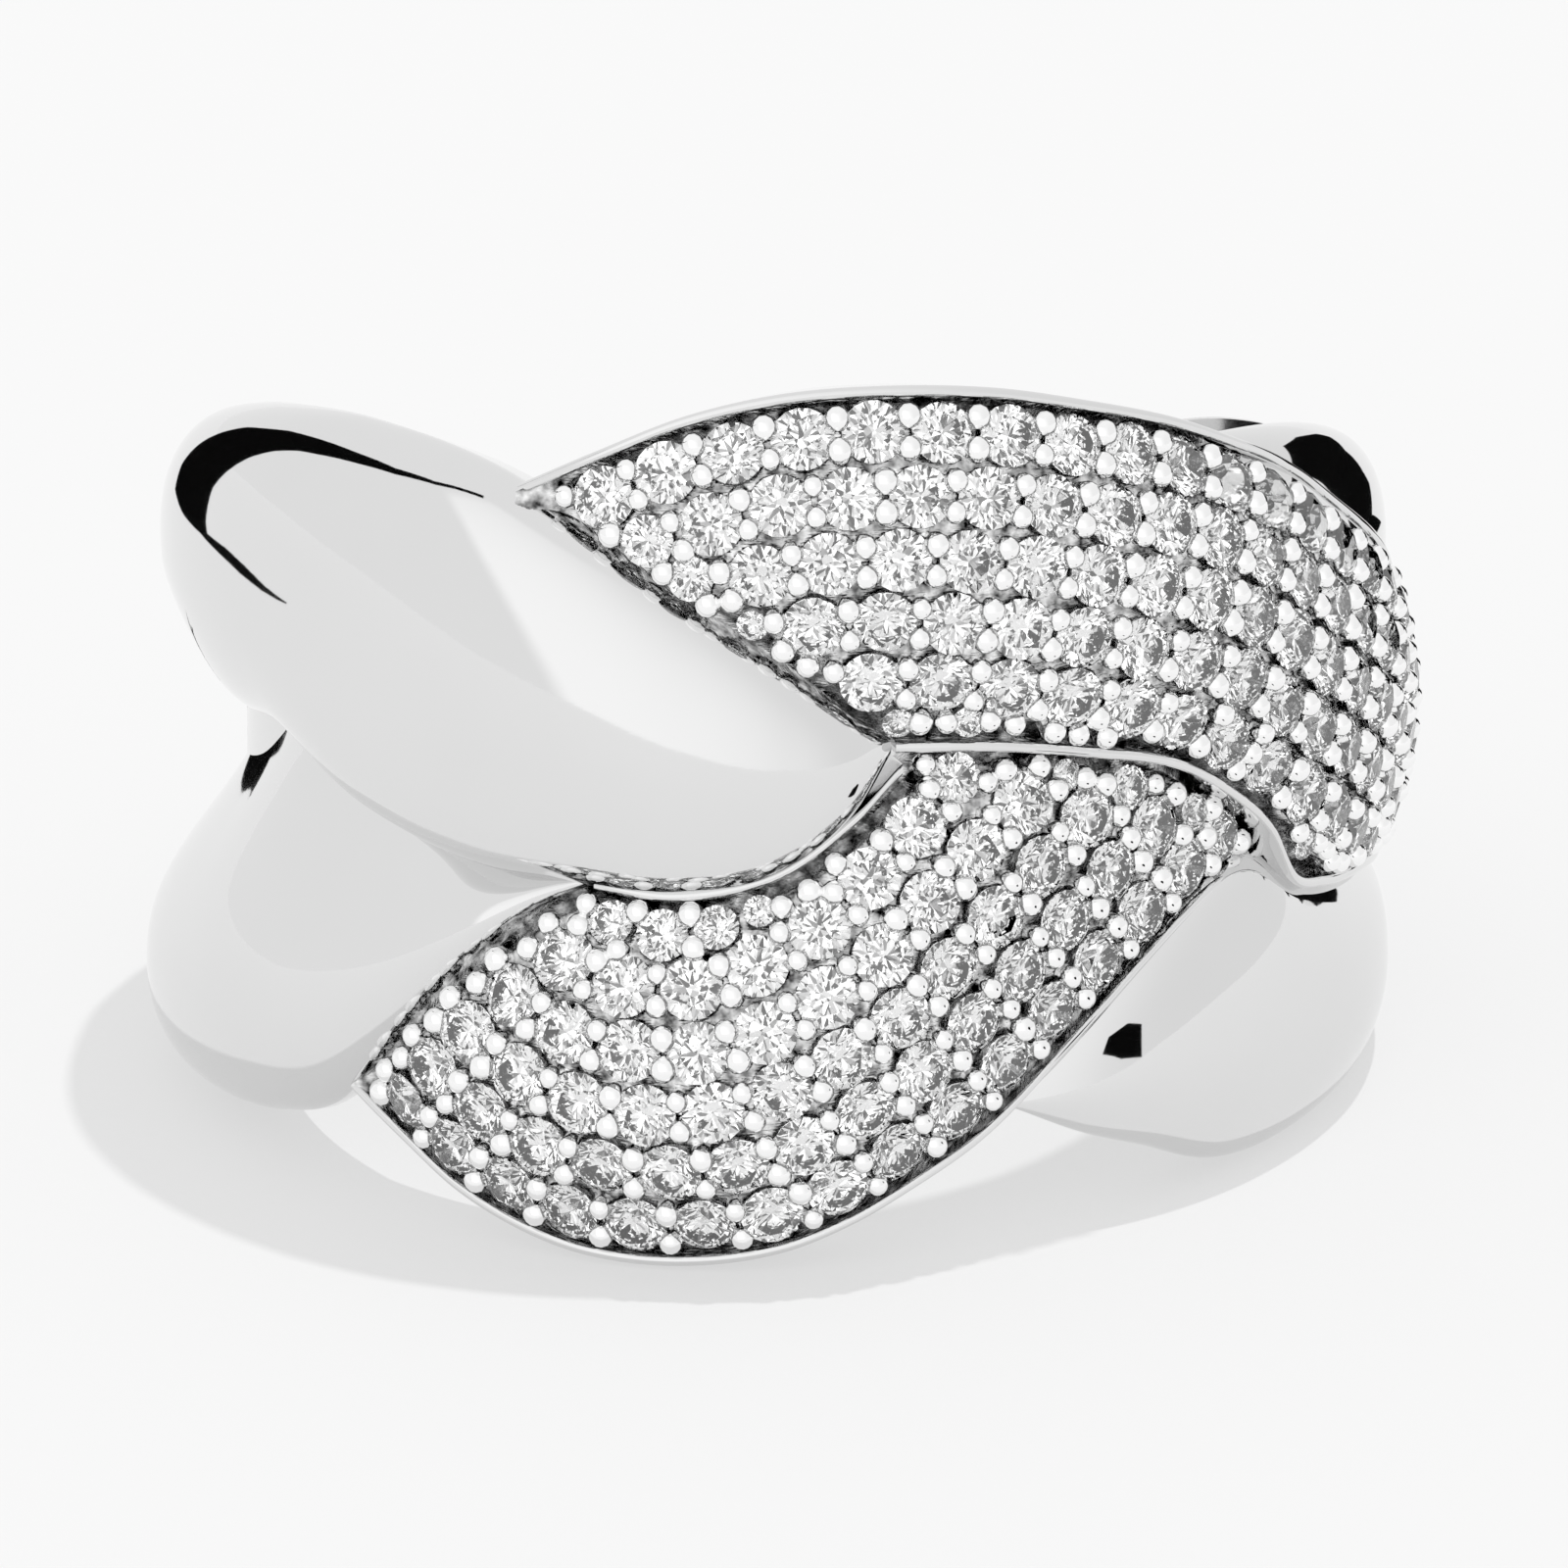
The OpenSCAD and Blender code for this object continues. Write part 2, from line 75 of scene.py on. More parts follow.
# Sections of the leaves: angle from the front, upper edge and lower edge as shares of the
# half width, then the heights at the middle, the upper and the lower edge as shares of the crest
leaves = {
    "leftTop": {"shank": (0.9, 0.0), "order": 1, "table": [
        (-100, 0.665, 0.03, 0.78, 0.25, 0.1), (-90, 0.705, 0.06, 0.81, 0.28, 0.12),
        (-75, 0.786, 0.101, 0.86, 0.34, 0.16), (-60, 0.836, 0.141, 0.9, 0.4, 0.3),
        (-45, 0.847, 0.01, 0.95, 0.46, 0.42), (-30, 0.786, -0.111, 1, 0.52, 0.48),
        (-20, 0.675, -0.151, 1, 0.56, 0.5), (-10, 0.524, -0.166, 0.98, 0.58, 0.52),
        (0, 0.368, -0.111, 0.92, 0.58, 0.54), (7, 0.242, 0.03, 0.78, 0.58, 0.56),
        (10.3, 0.191, 0.156, 0.6, 0.57, 0.57)]},
    "leftLow": {"shank": (0.04, -0.9), "order": 2, "table": [
        (-100, 0.04, -0.695, 0.84, 0.1, 0.25), (-90, 0.071, -0.756, 0.89, 0.12, 0.28),
        (-75, 0.111, -0.786, 0.89, 0.16, 0.34), (-60, 0.171, -0.776, 0.89, 0.28, 0.38),
        (-50, 0.091, -0.716, 0.88, 0.36, 0.42), (-40, 0.01, -0.549, 0.86, 0.42, 0.46),
        (-30, -0.071, -0.333, 0.8, 0.46, 0.48), (-24, -0.101, -0.212, 0.7, 0.48, 0.49),
        (-19, -0.111, -0.151, 0.58, 0.5, 0.5)]},
    "upper": {"shank": (0.45, -0.45), "order": 3, "table": [
        (-25.5, 0.753, 0.252, 0.76, 0.74, 0.52), (-18, 0.836, 0.212, 0.82, 0.74, 0.54),
        (-9, 0.927, 0.181, 0.88, 0.74, 0.57), (0, 0.978, 0.166, 0.92, 0.73, 0.61),
        (10, 0.993, 0.161, 0.94, 0.73, 0.66), (20, 0.978, 0.156, 0.96, 0.72, 0.71),
        (30, 0.932, 0.126, 0.96, 0.71, 0.73), (40, 0.872, 0.076, 0.96, 0.68, 0.73),
        (48, 0.806, -0.02, 0.95, 0.67, 0.71), (54, 0.752, -0.121, 0.94, 0.68, 0.69),
        (58, 0.705, -0.237, 0.93, 0.7, 0.67), (64, 0.625, -0.272, 0.92, 0.73, 0.66),
        (76, 0.49, -0.282, 0.91, 0.75, 0.66), (90, 0.336, -0.292, 0.89, 0.73, 0.65),
        (100, 0.252, -0.282, 0.86, 0.7, 0.63)]},
    "lower": {"shank": (0.0, 0.0), "order": 4, "table": [
        (-47.5, -0.202, -0.675, 0.62, 0.5, 0.58), (-40, -0.161, -0.781, 0.76, 0.54, 0.58),
        (-34, -0.141, -0.872, 0.84, 0.58, 0.57), (-27, -0.131, -0.947, 0.9, 0.6, 0.56),
        (-20, -0.131, -0.993, 0.95, 0.62, 0.56), (-10, -0.151, -1.008, 0.98, 0.66, 0.56),
        (0, -0.091, -0.973, 0.99, 0.68, 0.57), (7, 0.03, -0.907, 0.96, 0.66, 0.58),
        (12, 0.141, -0.842, 0.89, 0.58, 0.58), (20, 0.242, -0.726, 0.78, 0.48, 0.57),
        (30, 0.383, -0.524, 0.66, 0.45, 0.56), (40, 0.504, -0.343, 0.58, 0.42, 0.54),
        (47, 0.574, -0.247, 0.54, 0.4, 0.52), (53, 0.625, -0.202, 0.52, 0.38, 0.5),
        (58, 0.66, -0.175, 0.5, 0.37, 0.48)]},      # the last row lies hidden under the upper leaf
    "rightLow": {"shank": (-0.2, -0.9), "order": 5, "table": [
        (24, -0.605, -0.675, 0.42, 0.3, 0.38), (32, -0.438, -0.746, 0.6, 0.3, 0.36),
        (40, -0.297, -0.796, 0.7, 0.3, 0.34), (48, -0.191, -0.847, 0.75, 0.3, 0.34),
        (54, -0.151, -0.852, 0.77, 0.3, 0.33), (60, -0.202, -0.836, 0.77, 0.28, 0.32),
        (70, -0.237, -0.796, 0.76, 0.24, 0.3), (80, -0.247, -0.746, 0.73, 0.2, 0.28),
        (90, -0.247, -0.685, 0.7, 0.16, 0.25), (100, -0.237, -0.615, 0.68, 0.14, 0.22)]},
    "rightTop": {"shank": (0.9, 0.2), "order": 6, "table": [
        (40, 0.857, 0.403, 0.6, 0.4, 0.4), (54, 0.847, 0.343, 0.7, 0.36, 0.36),
        (65, 0.806, 0.282, 0.71, 0.32, 0.32), (78, 0.736, 0.222, 0.71, 0.28, 0.25),
        (90, 0.655, 0.161, 0.68, 0.25, 0.22), (100, 0.595, 0.131, 0.65, 0.22, 0.2)]},
}
for leaf in leaves.values():
    leaf["table"] = np.array(leaf["table"], float)

# Shares of the half width by which shown edges leave the solids' own: the upper left leaf laps
# over the lower left one, and the upper right one starts lower behind the set leaf
shown = {
    "leftTop": (2, {-75: -0.03, -60: -0.05, -45: -0.05, -30: -0.02}),
    "rightTop": (1, {40: -0.06, 54: -0.05, 65: -0.03, 78: -0.01}),
}


def shownLeaf(name):
    column, shifts = shown[name]
    table = leaves[name]["table"].copy()
    for angleThere, share in shifts.items():
        table[table[:, 0] == angleThere, column] += share
    return dict(leaves[name], table=table)


leftTopShown, rightTopShown = shownLeaf("leftTop"), shownLeaf("rightTop")


def mix(a, b, k):
    return a + (b - a) * k


def ease(k):
    u = np.clip(k, 0, 1)
    return u * u * (3 - 2 * u)


# Smooth curve through one column of a table: a cubic between each two rows, whose slope at
# a row is the mean of the slopes before and after it
def pick(leaf, column, angle):
    x, y = leaf["table"][:, 0], leaf["table"][:, column]
    d = np.diff(y) / np.diff(x)
    m = np.concatenate([d[:1], (d[:-1] + d[1:]) / 2, d[-1:]])
    a = np.clip(angle, x[0], x[-1])
    i = np.clip(np.searchsorted(x, a, side="right") - 1, 0, len(x) - 2)
    w = x[i + 1] - x[i]
    u = (a - x[i]) / w
    return ((2 * u + 1) * (1 - u) ** 2 * y[i] + u * u * (3 - 2 * u) * y[i + 1]
            + w * u * (1 - u) * ((1 - u) * m[i] - u * m[i + 1]))


# How far a leaf has run into the shank: 0 at the side, 1 at the back, on a quarter sine
def fade(angle):
    share = (np.abs(angle) - ring["sideAngle"]) / (ring["backAngle"] - ring["sideAngle"])
    return np.sin(np.pi / 2 * np.clip(share, 0, 1))


# Edge of a leaf along the bore: side 1 is the upper edge, side 2 the lower one
def edgeZ(leaf, side, angle):
    return mix(halfWidth * pick(leaf, side, angle),
               ring["shankWidth"] / 2 * leaf["shank"][side - 1], fade(angle))


# Radius at a leaf's middle (column 3) or edges (columns 4 and 5)
def heightR(leaf, column, angle):
    end = ring["shankThickness"] * ring["endMiddle" if column == 3 else "endEdge"]
    return boreRadius + mix(ring["crestHeight"] * pick(leaf, column, angle), end, fade(angle))


# Radius of a leaf's skin at share t across it (-1 low edge, 1 upper edge): a straight line
# from edge to edge, raised by a dome that is 1 in the middle and 0 at the edges
def skinR(leaf, angle, t, dome):
    up, low = heightR(leaf, 4, angle), heightR(leaf, 5, angle)
    return mix(low, up, (t + 1) / 2) + (heightR(leaf, 3, angle) - (up + low) / 2) * dome


domes = {
    "power": 2.3,
    "slackPower": 1.55,
    "slackFrom": 62,         # angle to the left where a dome begins to slacken
    "slackOver": 24,         # and over how much of it
    "crestAt": -0.35,        # share across of a low crest
    "slopePower": 0.9,
}


def rolledDome(t, power=domes["power"]):    # squarer than a circle: |t|^p + dome^p = 1
    return np.maximum(0, 1 - np.abs(t) ** power) ** (1 / power)


def camberedDome(t):               # a parabola
    return 1 - t * t


# Shown domes of the leaves by angle and share across: rolled alike, or slacker on the low side
# towards the back, or with the crest low and a long slope from it up to the leaf above
def evenDome(angle, t):
    return rolledDome(t)


def slackDome(angle, t):
    slack = ease((-angle - domes["slackFrom"]) / domes["slackOver"])
    loose = mix(domes["power"], domes["slackPower"], slack)
    return rolledDome(t, np.where(t < 0, loose, domes["power"]))


def slopedDome(angle, t):
    crestAt = domes["crestAt"]
    below = rolledDome(np.clip((crestAt - t) / (1 + crestAt), 0, 1))
    fall = np.clip((t - crestAt) / (1 - crestAt), 0, 1)
    slope = (0.5 + 0.5 * np.cos(np.pi * fall)) ** domes["slopePower"]
    return np.where(t > crestAt, slope, below) + 0 * angle


# Point of the ring from an angle seen from the front, a radius and a height along the bore
def place(angle, radius, z):
    a, radius, z = np.broadcast_arrays(np.radians(angle), radius, z)
    return np.stack([radius * np.sin(a), -radius * np.cos(a), z], axis=-1)


# Skin of a leaf over angles and shares across, raised by a dome's values there
def skinAt(leaf, angle, t, dome):
    z = mix(edgeZ(leaf, 2, angle), edgeZ(leaf, 1, angle), (t + 1) / 2)
    return place(angle, skinR(leaf, angle, t, dome), z)


def deepRadius(leaf):
    return boreRadius - ring["footDepth"] - ring["footStep"] * leaf["order"]


# The turn that lays the ring on its side: the plane through its three resting points
# becomes level. Turned about the line across both normals, by the angle between them.
def restTurn():
    low, right, left = leaves["lower"], leaves["rightLow"], leaves["leftLow"]
    atFront, atRight, atLeft = ring["restAngles"]
    top = heightR(low, 5, atFront)
    lean = rimLean * (top - boreRadius) / (top - deepRadius(low))
    front = place(atFront, boreRadius, edgeZ(low, 2, atFront) + lean)
    toRight, toLeft = (place(a, heightR(leaf, 5, a), edgeZ(leaf, 2, a)) - front
                       for leaf, a in ((right, atRight), (left, atLeft)))
    up = np.cross(toRight, toLeft)
    x, y, z = up / np.linalg.norm(up)
    axis = np.array([y, -x, 0.0])  # cross of up with the vertical
    s = np.linalg.norm(axis)
    ax, ay, az = axis / s
    k = np.array([[0, -az, ay], [az, 0, -ax], [-ay, ax, 0]])
    return np.eye(3) + s * k + (1 - z) * k @ k


turn = restTurn()


def lay(points):                   # ring's frame in millimetres to the resting ring in metres
    return points @ turn.T * millimetre


# The camera: the photograph looks 10 degrees down on the ring's own middle plane
view = {
    "elevation": 10.0,
    "frameWidth": 27.4,            # millimetres that the frame is wide at the ring
    "pixels": 1600,
    "distance": 520.0,
    "dropUnderBore": 1.08,         # how far the frame's centre is below the bore's
}
down = math.radians(view["elevation"])
towardCamera = turn @ np.array([0, -math.cos(down), math.sin(down)])
cameraUp = turn @ np.array([0, math.sin(down), math.cos(down)])
cameraRight = turn @ np.array([1.0, 0, 0])
target = -view["dropUnderBore"] * cameraUp * millimetre
spot = target + towardCamera * view["distance"] * millimetre
lens = bpy.data.cameras.new("camera")
lens.sensor_width = 36
lens.lens = 36 * view["distance"] / view["frameWidth"]
lens.clip_start, lens.clip_end = 0.01, 60


def addObject(name, data):
    added = bpy.data.objects.new(name, data)
    bpy.context.collection.objects.link(added)
    return added


camera = addObject("camera", lens)
pose = np.eye(4)
pose[:3] = np.stack([cameraRight, cameraUp, towardCamera, spot], axis=1)
camera.matrix_world = Matrix(pose.tolist())
bpy.context.scene.camera = camera
print("camera", np.round(towardCamera, 3))


# One mesh and its object from arrays of points and faces, riding on the ring
def makeObject(name, points, faces, material, smooth=True, sharp=None):
    mesh = bpy.data.meshes.new(name)
    mesh.from_pydata(points.tolist(), [], [f.tolist() if isinstance(f, np.ndarray) else f
                                           for f in faces])
    mesh.polygons.foreach_set("use_smooth", np.full(len(mesh.polygons), smooth))
    if sharp:
        mesh.set_sharp_from_angle(angle=math.radians(sharp))
    mesh.materials.append(material)
    mesh.update()
    piece = addObject(name, mesh)
    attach(piece, "root")
    return piece


# Quads of a grid of n rows and m columns; wrapped rows or columns close on themselves
def gridFaces(n, m, wrapRows=False, wrapColumns=False):
    i = np.arange(n if wrapRows else n - 1)[:, None]
    j = np.arange(m if wrapColumns else m - 1)[None, :]
    i2, j2 = (i + 1) % n, (j + 1) % m
    return np.stack(np.broadcast_arrays(i * m + j, i2 * m + j, i2 * m + j2, i * m + j2),
                    axis=-1).reshape(-1, 4)


# Six times the volume that the faces enclose, less than 0 where they point inwards
def signedVolume(points, quads):
    a, b, c, d = (points[quads[:, k]] for k in range(4))
    return np.sum(np.cross(a, b) * c) + np.sum(np.cross(a, c) * d)


# A closed body from grids of points side by side (rows along the piece, columns round its
# section)
def sweptBody(name, grids, material, sharp=50, wrapRows=False):
    sections = lay(np.concatenate(grids, axis=1))
    n, m = sections.shape[:2]
    points = sections.reshape(-1, 3)
    faces = gridFaces(n, m, wrapRows, True)
    flip = signedVolume(points, faces) < 0
    faces = faces[:, ::-1] if flip else faces
    faces = list(faces)
    if not wrapRows:
        first, last = np.arange(m), (n - 1) * m + np.arange(m)
        faces += [first if flip else first[::-1], last[::-1] if flip else last]
    return makeObject(name, points, faces, material, sharp=sharp)


print("meshes ready")

marks = {
    "wide": (420, 2),        # scale and detail of the slow changes over a few millimetres
    "paintedFlecks": (4500, 2),       # of the flecks of painted light and shade
    "fine": (9000, 3),
    "stretch": (0.5, 0.5, 3.0),             # the fine marks run round the band
    "depth": 0.00002,
}


def dial(node, values):
    for label, value in values.items():
        node.inputs[label].default_value = value


def noiseNode(nodes, scale, detail):
    noise = nodes.new("ShaderNodeTexNoise")
    dial(noise, {"Scale": scale, "Detail": detail})
    return noise


# Hand polish: a soft change of tone, flecks of painted light and shade standing in for the glints
# and dark gaps among a graver's cuts, a spread of roughness and faint rubbing marks, each from
# noise in the object's own coordinates
def polishGroup():
    group = bpy.data.node_groups.new("handPolishAndPaintedFlecks", "ShaderNodeTree")
    sockets = group.interface
    for label, start in (("Tone", 0.88), ("Tone Spread", 0.02), ("Flecks", 0), ("Roughness", 0.05),
                         ("Roughness Spread", 0.03), ("Mark Depth", 0.01)):
        entrySocket = sockets.new_socket(label, in_out="INPUT", socket_type="NodeSocketFloat")
        entrySocket.default_value = start
    for label, kind in (("Color", "Color"), ("Roughness", "Float"), ("Normal", "Vector")):
        sockets.new_socket(label, in_out="OUTPUT", socket_type="NodeSocket" + kind)
    nodes, link = group.nodes, group.links.new
    entry, leave = nodes.new("NodeGroupInput"), nodes.new("NodeGroupOutput")
    coordinates, stretch = nodes.new("ShaderNodeTexCoord"), nodes.new("ShaderNodeMapping")
    dial(stretch, {"Scale": marks["stretch"]})
    wide, paintedFlecks, fine = (noiseNode(nodes, *marks[label]) for label in ("wide", "paintedFlecks", "fine"))
    for node in (wide, paintedFlecks, stretch):
        link(coordinates.outputs["Object"], node.inputs["Vector"])
    link(stretch.outputs["Vector"], fine.inputs["Vector"])

    def centred(source, spread, middle):            # middle + (noise - 0.5) * spread
        less, out = nodes.new("ShaderNodeMath"), nodes.new("ShaderNodeMath")
        less.operation, out.operation = "SUBTRACT", "MULTIPLY_ADD"
        less.inputs[1].default_value = 0.5
        link(source, less.inputs[0])
        link(less.outputs[0], out.inputs[0])
        link(entry.outputs[spread], out.inputs[1])
        link(middle, out.inputs[2])
        return out.outputs[0]

    tone = centred(wide.outputs["Fac"], "Tone Spread", entry.outputs["Tone"])
    # The flecks are painted light and shade: dark and bright spots laid into the colour
    tone = centred(paintedFlecks.outputs["Fac"], "Flecks", tone)
    grey = nodes.new("ShaderNodeCombineColor")
    for k in range(3):
        link(tone, grey.inputs[k])
    link(grey.outputs[0], leave.inputs["Color"])
    link(centred(fine.outputs["Fac"], "Roughness Spread", entry.outputs["Roughness"]),
         leave.inputs["Roughness"])
    bump = nodes.new("ShaderNodeBump")
    dial(bump, {"Distance": marks["depth"]})
    link(entry.outputs["Mark Depth"], bump.inputs["Strength"])
    link(fine.outputs["Fac"], bump.inputs["Height"])
    link(bump.outputs["Normal"], leave.inputs["Normal"])
    return group


polish = polishGroup()
metals = {
    "brightMetal": {"Tone": 0.77, "Tone Spread": 0.02, "Roughness": 0.045,
                    "Roughness Spread": 0.03, "Mark Depth": 0.004},
    # The beads' metal is the leaves' own painted paler: a painted highlight that makes them shine
    # white
    "beadMetalPaintedHighlight": {"Tone": 0.97, "Tone Spread": 0.03, "Roughness": 0.06,
                  "Roughness Spread": 0.04, "Mark Depth": 0.01},
    # The bed's metal is painted darker than the leaves' for the shade that falls between the
    # stones, and its flecks are painted glints and dark reflections
    "bedMetalPaintedShade": {"Tone": 0.46, "Tone Spread": 0.2, "Flecks": 2.2, "Roughness": 0.08,
                 "Roughness Spread": 0.08, "Mark Depth": 0.9},
    "innerMetal": {"Tone": 0.76, "Tone Spread": 0.05, "Roughness": 0.14,
                   "Roughness Spread": 0.08, "Mark Depth": 0.02},
}


# A material, its tree and its shader, with the shader's inputs set
def newMaterial(name, values):
    material = bpy.data.materials.new(name)
    material.use_nodes = True
    shader = material.node_tree.nodes["Principled BSDF"]
    dial(shader, values)
    return material, material.node_tree, shader


def metalMaterial(name):
    material, tree, shader = newMaterial(name, {"Metallic": 1.0})
    surface = tree.nodes.new("ShaderNodeGroup")
    surface.node_tree = polish
    dial(surface, metals[name])
    for label in ("Color", "Roughness", "Normal"):
        entry = "Base Color" if label == "Color" else label
        tree.links.new(surface.outputs[label], shader.inputs[entry])
    return material


brightMetal, beadMetalPaintedHighlight, bedMetalPaintedShade, innerMetal = (metalMaterial(name) for name in metals)

# Clear stone: plain glass of a diamond's kind; each stone has a tone of its own
gem = {"refraction": 2.4, "palest": 1.0, "greyest": 0.92}


def stoneMaterial():
    material, tree, shader = newMaterial("clearStone", {
        "Roughness": 0.0, "IOR": gem["refraction"], "Transmission Weight": 1.0})
    tone = tree.nodes.new("ShaderNodeAttribute")
    tone.attribute_name = "stoneTone"
    ramp = tree.nodes.new("ShaderNodeMix")
    ramp.data_type = "RGBA"
    dial(ramp, {"A": (gem["greyest"],) * 3 + (1,), "B": (gem["palest"],) * 3 + (1,)})
    tree.links.new(tone.outputs["Fac"], ramp.inputs["Factor"])
    tree.links.new(ramp.outputs["Result"], shader.inputs["Base Color"])
    return material


clearStone = stoneMaterial()
print("finishes ready")


# Polished leaves
polished = {
    "stepAngle": 0.75,
    "across": 49,
    "foot": 0.14,            # how far outside the bore the leaves end, inside the sleeve's edge
    "footStep": 0.02,
    "leanFree": 0.6,         # how far a free wall leans in, down to the bore
    "leanShare": 0.3,        # but no more than this share of the leaf's width
    "wallPoints": 5,
}
freeLean = polished["leanFree"]


def angleRow(start, end, step):
    return np.linspace(start, end, int(math.ceil((end - start) / step)) + 1)


def acrossShares(count):           # from -1 to 1 on a sine, so closer together at the edges
    return np.sin(np.linspace(-np.pi / 2, np.pi / 2, count))[None, :]


# How far a wall has leaned in at a radius: in proportion to its drop from the edge to the foot
def leanAt(leaf, side, lean, angle, radius):
    edge = heightR(leaf, side + 3, angle)
    most = polished["leanShare"] * (edgeZ(leaf, 1, angle) - edgeZ(leaf, 2, angle))
    return np.minimum(lean, most) * np.clip((edge - radius) / (edge - deepRadius(leaf)), 0, 1)


# A wall from an edge down to the foot, as points of falling radius
def wall(leaf, side, lean, angle, top, footR, count):
    share = np.linspace(0, 1, count + 1)[1:]
    radius = mix(top[:, None], footR, share[None, :])
    z = edgeZ(leaf, side, angle)[:, None] + (1 if side == 2 else -1) * leanAt(
        leaf, side, lean, angle[:, None], radius)
    return place(angle[:, None], radius, z)


# Radius down to which a leaf's walls are drawn, just outside the bore
def footRadius(leaf):
    return boreRadius + polished["foot"] + polished["footStep"] * leaf["order"]


# A polished leaf: walls up from the bore, and between them a skin whose dome is a squared
# circle, with the points closer where it rolls over at the edges
def polishedLeaf(name, leaf, dome, start, end, leanUp, leanLow):
    angle = angleRow(start, end, polished["stepAngle"])
    t = acrossShares(polished["across"])
    skin = skinAt(leaf, angle[:, None], t, dome(angle[:, None], t))
    low, high = (wall(leaf, side, lean, angle, heightR(leaf, side + 3, angle), footRadius(leaf),
                      polished["wallPoints"]) for side, lean in ((2, leanLow), (1, leanUp)))
    return sweptBody(name, [low[:, ::-1], skin, high], brightMetal)


def backOf(leaf):
    return ring["backAngle"] + 0.7 * leaf["order"]


leftTop, leftLow, upper, lower, rightLow, rightTop = (
    leaves[k] for k in ("leftTop", "leftLow", "upper", "lower", "rightLow", "rightTop"))
bandPieces = [
    polishedLeaf("leaf_left_top", leftTopShown, slackDome, -backOf(leftTop), 10.3, freeLean, 0),
    polishedLeaf("leaf_left_low", leftLow, slopedDome, -backOf(leftLow), -19, 0, freeLean),
    polishedLeaf("leaf_right_low", rightLow, evenDome, 24, backOf(rightLow), 0, freeLean),
    polishedLeaf("leaf_right_top", rightTopShown, evenDome, 40, backOf(rightTop), freeLean, 0),
    polishedLeaf("upper_tail", upper, evenDome, 104, backOf(upper), 0, 0),
]

shank = {
    "brow": 0.45,            # height of its edges as a share of the middle's
    "startShare": 0.1,       # height where it starts, under the leaves, as a share of the back's
    "riseAngle": 40.0,       # angle over which it rises from one to the other
    "inset": 0.75,           # how far inside the leaves' edges it starts
    "footInset": 0.06,
}


# The shank: one rounded band over the leaves' ends, whose edges run from theirs to its own
def shankBody():
    angle = angleRow(ring["sideAngle"], 360 - ring["sideAngle"], polished["stepAngle"])
    b = np.where(angle > 180, angle - 360, angle)
    half = ring["shankWidth"] / 2

    def edge(right, left, side, way):
        own = np.where(b > 0, pick(right, side, b), pick(left, side, b))
        return mix(halfWidth * own - way * shank["inset"], way * half, fade(b))

    hi, lo = edge(rightTop, leftTop, 1, 1), edge(rightLow, leftLow, 2, -1)
    rise = ease((np.abs(b) - ring["sideAngle"]) / shank["riseAngle"])
    h = ring["shankThickness"] * mix(shank["startShare"], 1, rise)
    t = acrossShares(polished["across"])
    r = boreRadius + h[:, None] * mix(shank["brow"], 1, rolledDome(t))
    skin = place(angle[:, None], r, mix(lo[:, None], hi[:, None], (t + 1) / 2))
    feet = [place(angle[:, None], boreRadius + polished["foot"],
                  (z + way * shank["footInset"])[:, None]) for z, way in ((lo, 1), (hi, -1))]
    return sweptBody("shank_band", [feet[0], skin, feet[1]], brightMetal)


bandPieces.append(shankBody())
print("polished leaves and shank")

# Stones: rows beside one edge of each set leaf, where the solids have them
setting = {
    "stone": 1.0,            # diameter that the rows are laid out for
    "shownStone": 1.1,       # and that the stones have
    "stoneGap": 0.24,
    "rowGap": 0.12,
    "rim": 0.22,
    "lip": 0.03,
    "rowStart": 0.27,        # of a pitch
    "rowHeight": 0.6,        # height at which the rows are laid out, as a share of the crest
    "ladderStep": 1.5,       # degrees
    "edgeStep": 0.7,
    "beadOut": 0.27,         # how far the two beads between two stones stand from the row
    "beadRadius": 0.24,
    "beadTop": 0.09,         # how far the beads' tops stand over the stones' tables
    "fillSizes": (1.06, 0.92, 0.8, 0.68, 0.56),    # smaller stones that fill what the rows leave
    "gridStep": 0.09,        # of the spots tried for them
    "fillApart": 0.06,       # least distance between their girdles
    "fillEdge": 0.0,         # and from the edge that passes over them
    "beadApart": 0.4,        # least distance between beads that fill gaps
    "beadFromStone": 0.09,
    "beadFromEdge": 0.16,
    "beadFromRim": 0.05,
    "beadNeed": 0.3,         # room that a bead needs beside a fence
    "beadSpread": (0.86, 1.08),
    "pairApart": 0.32,       # least distance between the beads that stand in pairs
    "pairFromStone": 0.04,
    "tilt": 0.06,            # spread of the stones' lean, because none sits quite level
}
pitch = setting["stone"] + setting["stoneGap"]
rowPitch = setting["stone"] + setting["rowGap"]
rowR = boreRadius + setting["rowHeight"] * ring["crestHeight"]


def unroll(leaf, side, angle):     # an edge on the unrolled band
    return np.stack([rowR * np.radians(angle), edgeZ(leaf, side, angle)], axis=-1)


# Points of an edge at equal steps
def edgePoints(leaf, side, start, end, step):
    return unroll(leaf, side, np.arange(start, end + 1e-9, step))


def angleOf(p):
    return np.degrees(p[..., 0] / rowR)


def awayFrom(points, others):      # distance of each point from the nearest of the others
    return np.linalg.norm(points[:, None] - others[None], axis=-1).min(axis=1)


def onSkin(leaf, p):               # a point of the unrolled band laid on the leaf
    a = angleOf(p)
    hi, lo = edgeZ(leaf, 1, a), edgeZ(leaf, 2, a)
    t = np.clip((2 * p[..., 1] - hi - lo) / (hi - lo), -1.1, 1.1)
    return place(a, skinR(leaf, a, t, camberedDome(t)), p[..., 1])


def runLength(points):             # length walked along the second last axis
    step = np.linalg.norm(np.diff(points, axis=-2), axis=-1)
    return np.concatenate([np.zeros(step.shape[:-1] + (1,)), np.cumsum(step, axis=-1)], axis=-1)


# Points at given lengths along a line, straight between its own points
def atLength(line, run, lengths):
    return np.stack([np.interp(lengths, run, line[:, k]) for k in range(line.shape[1])], axis=-1)


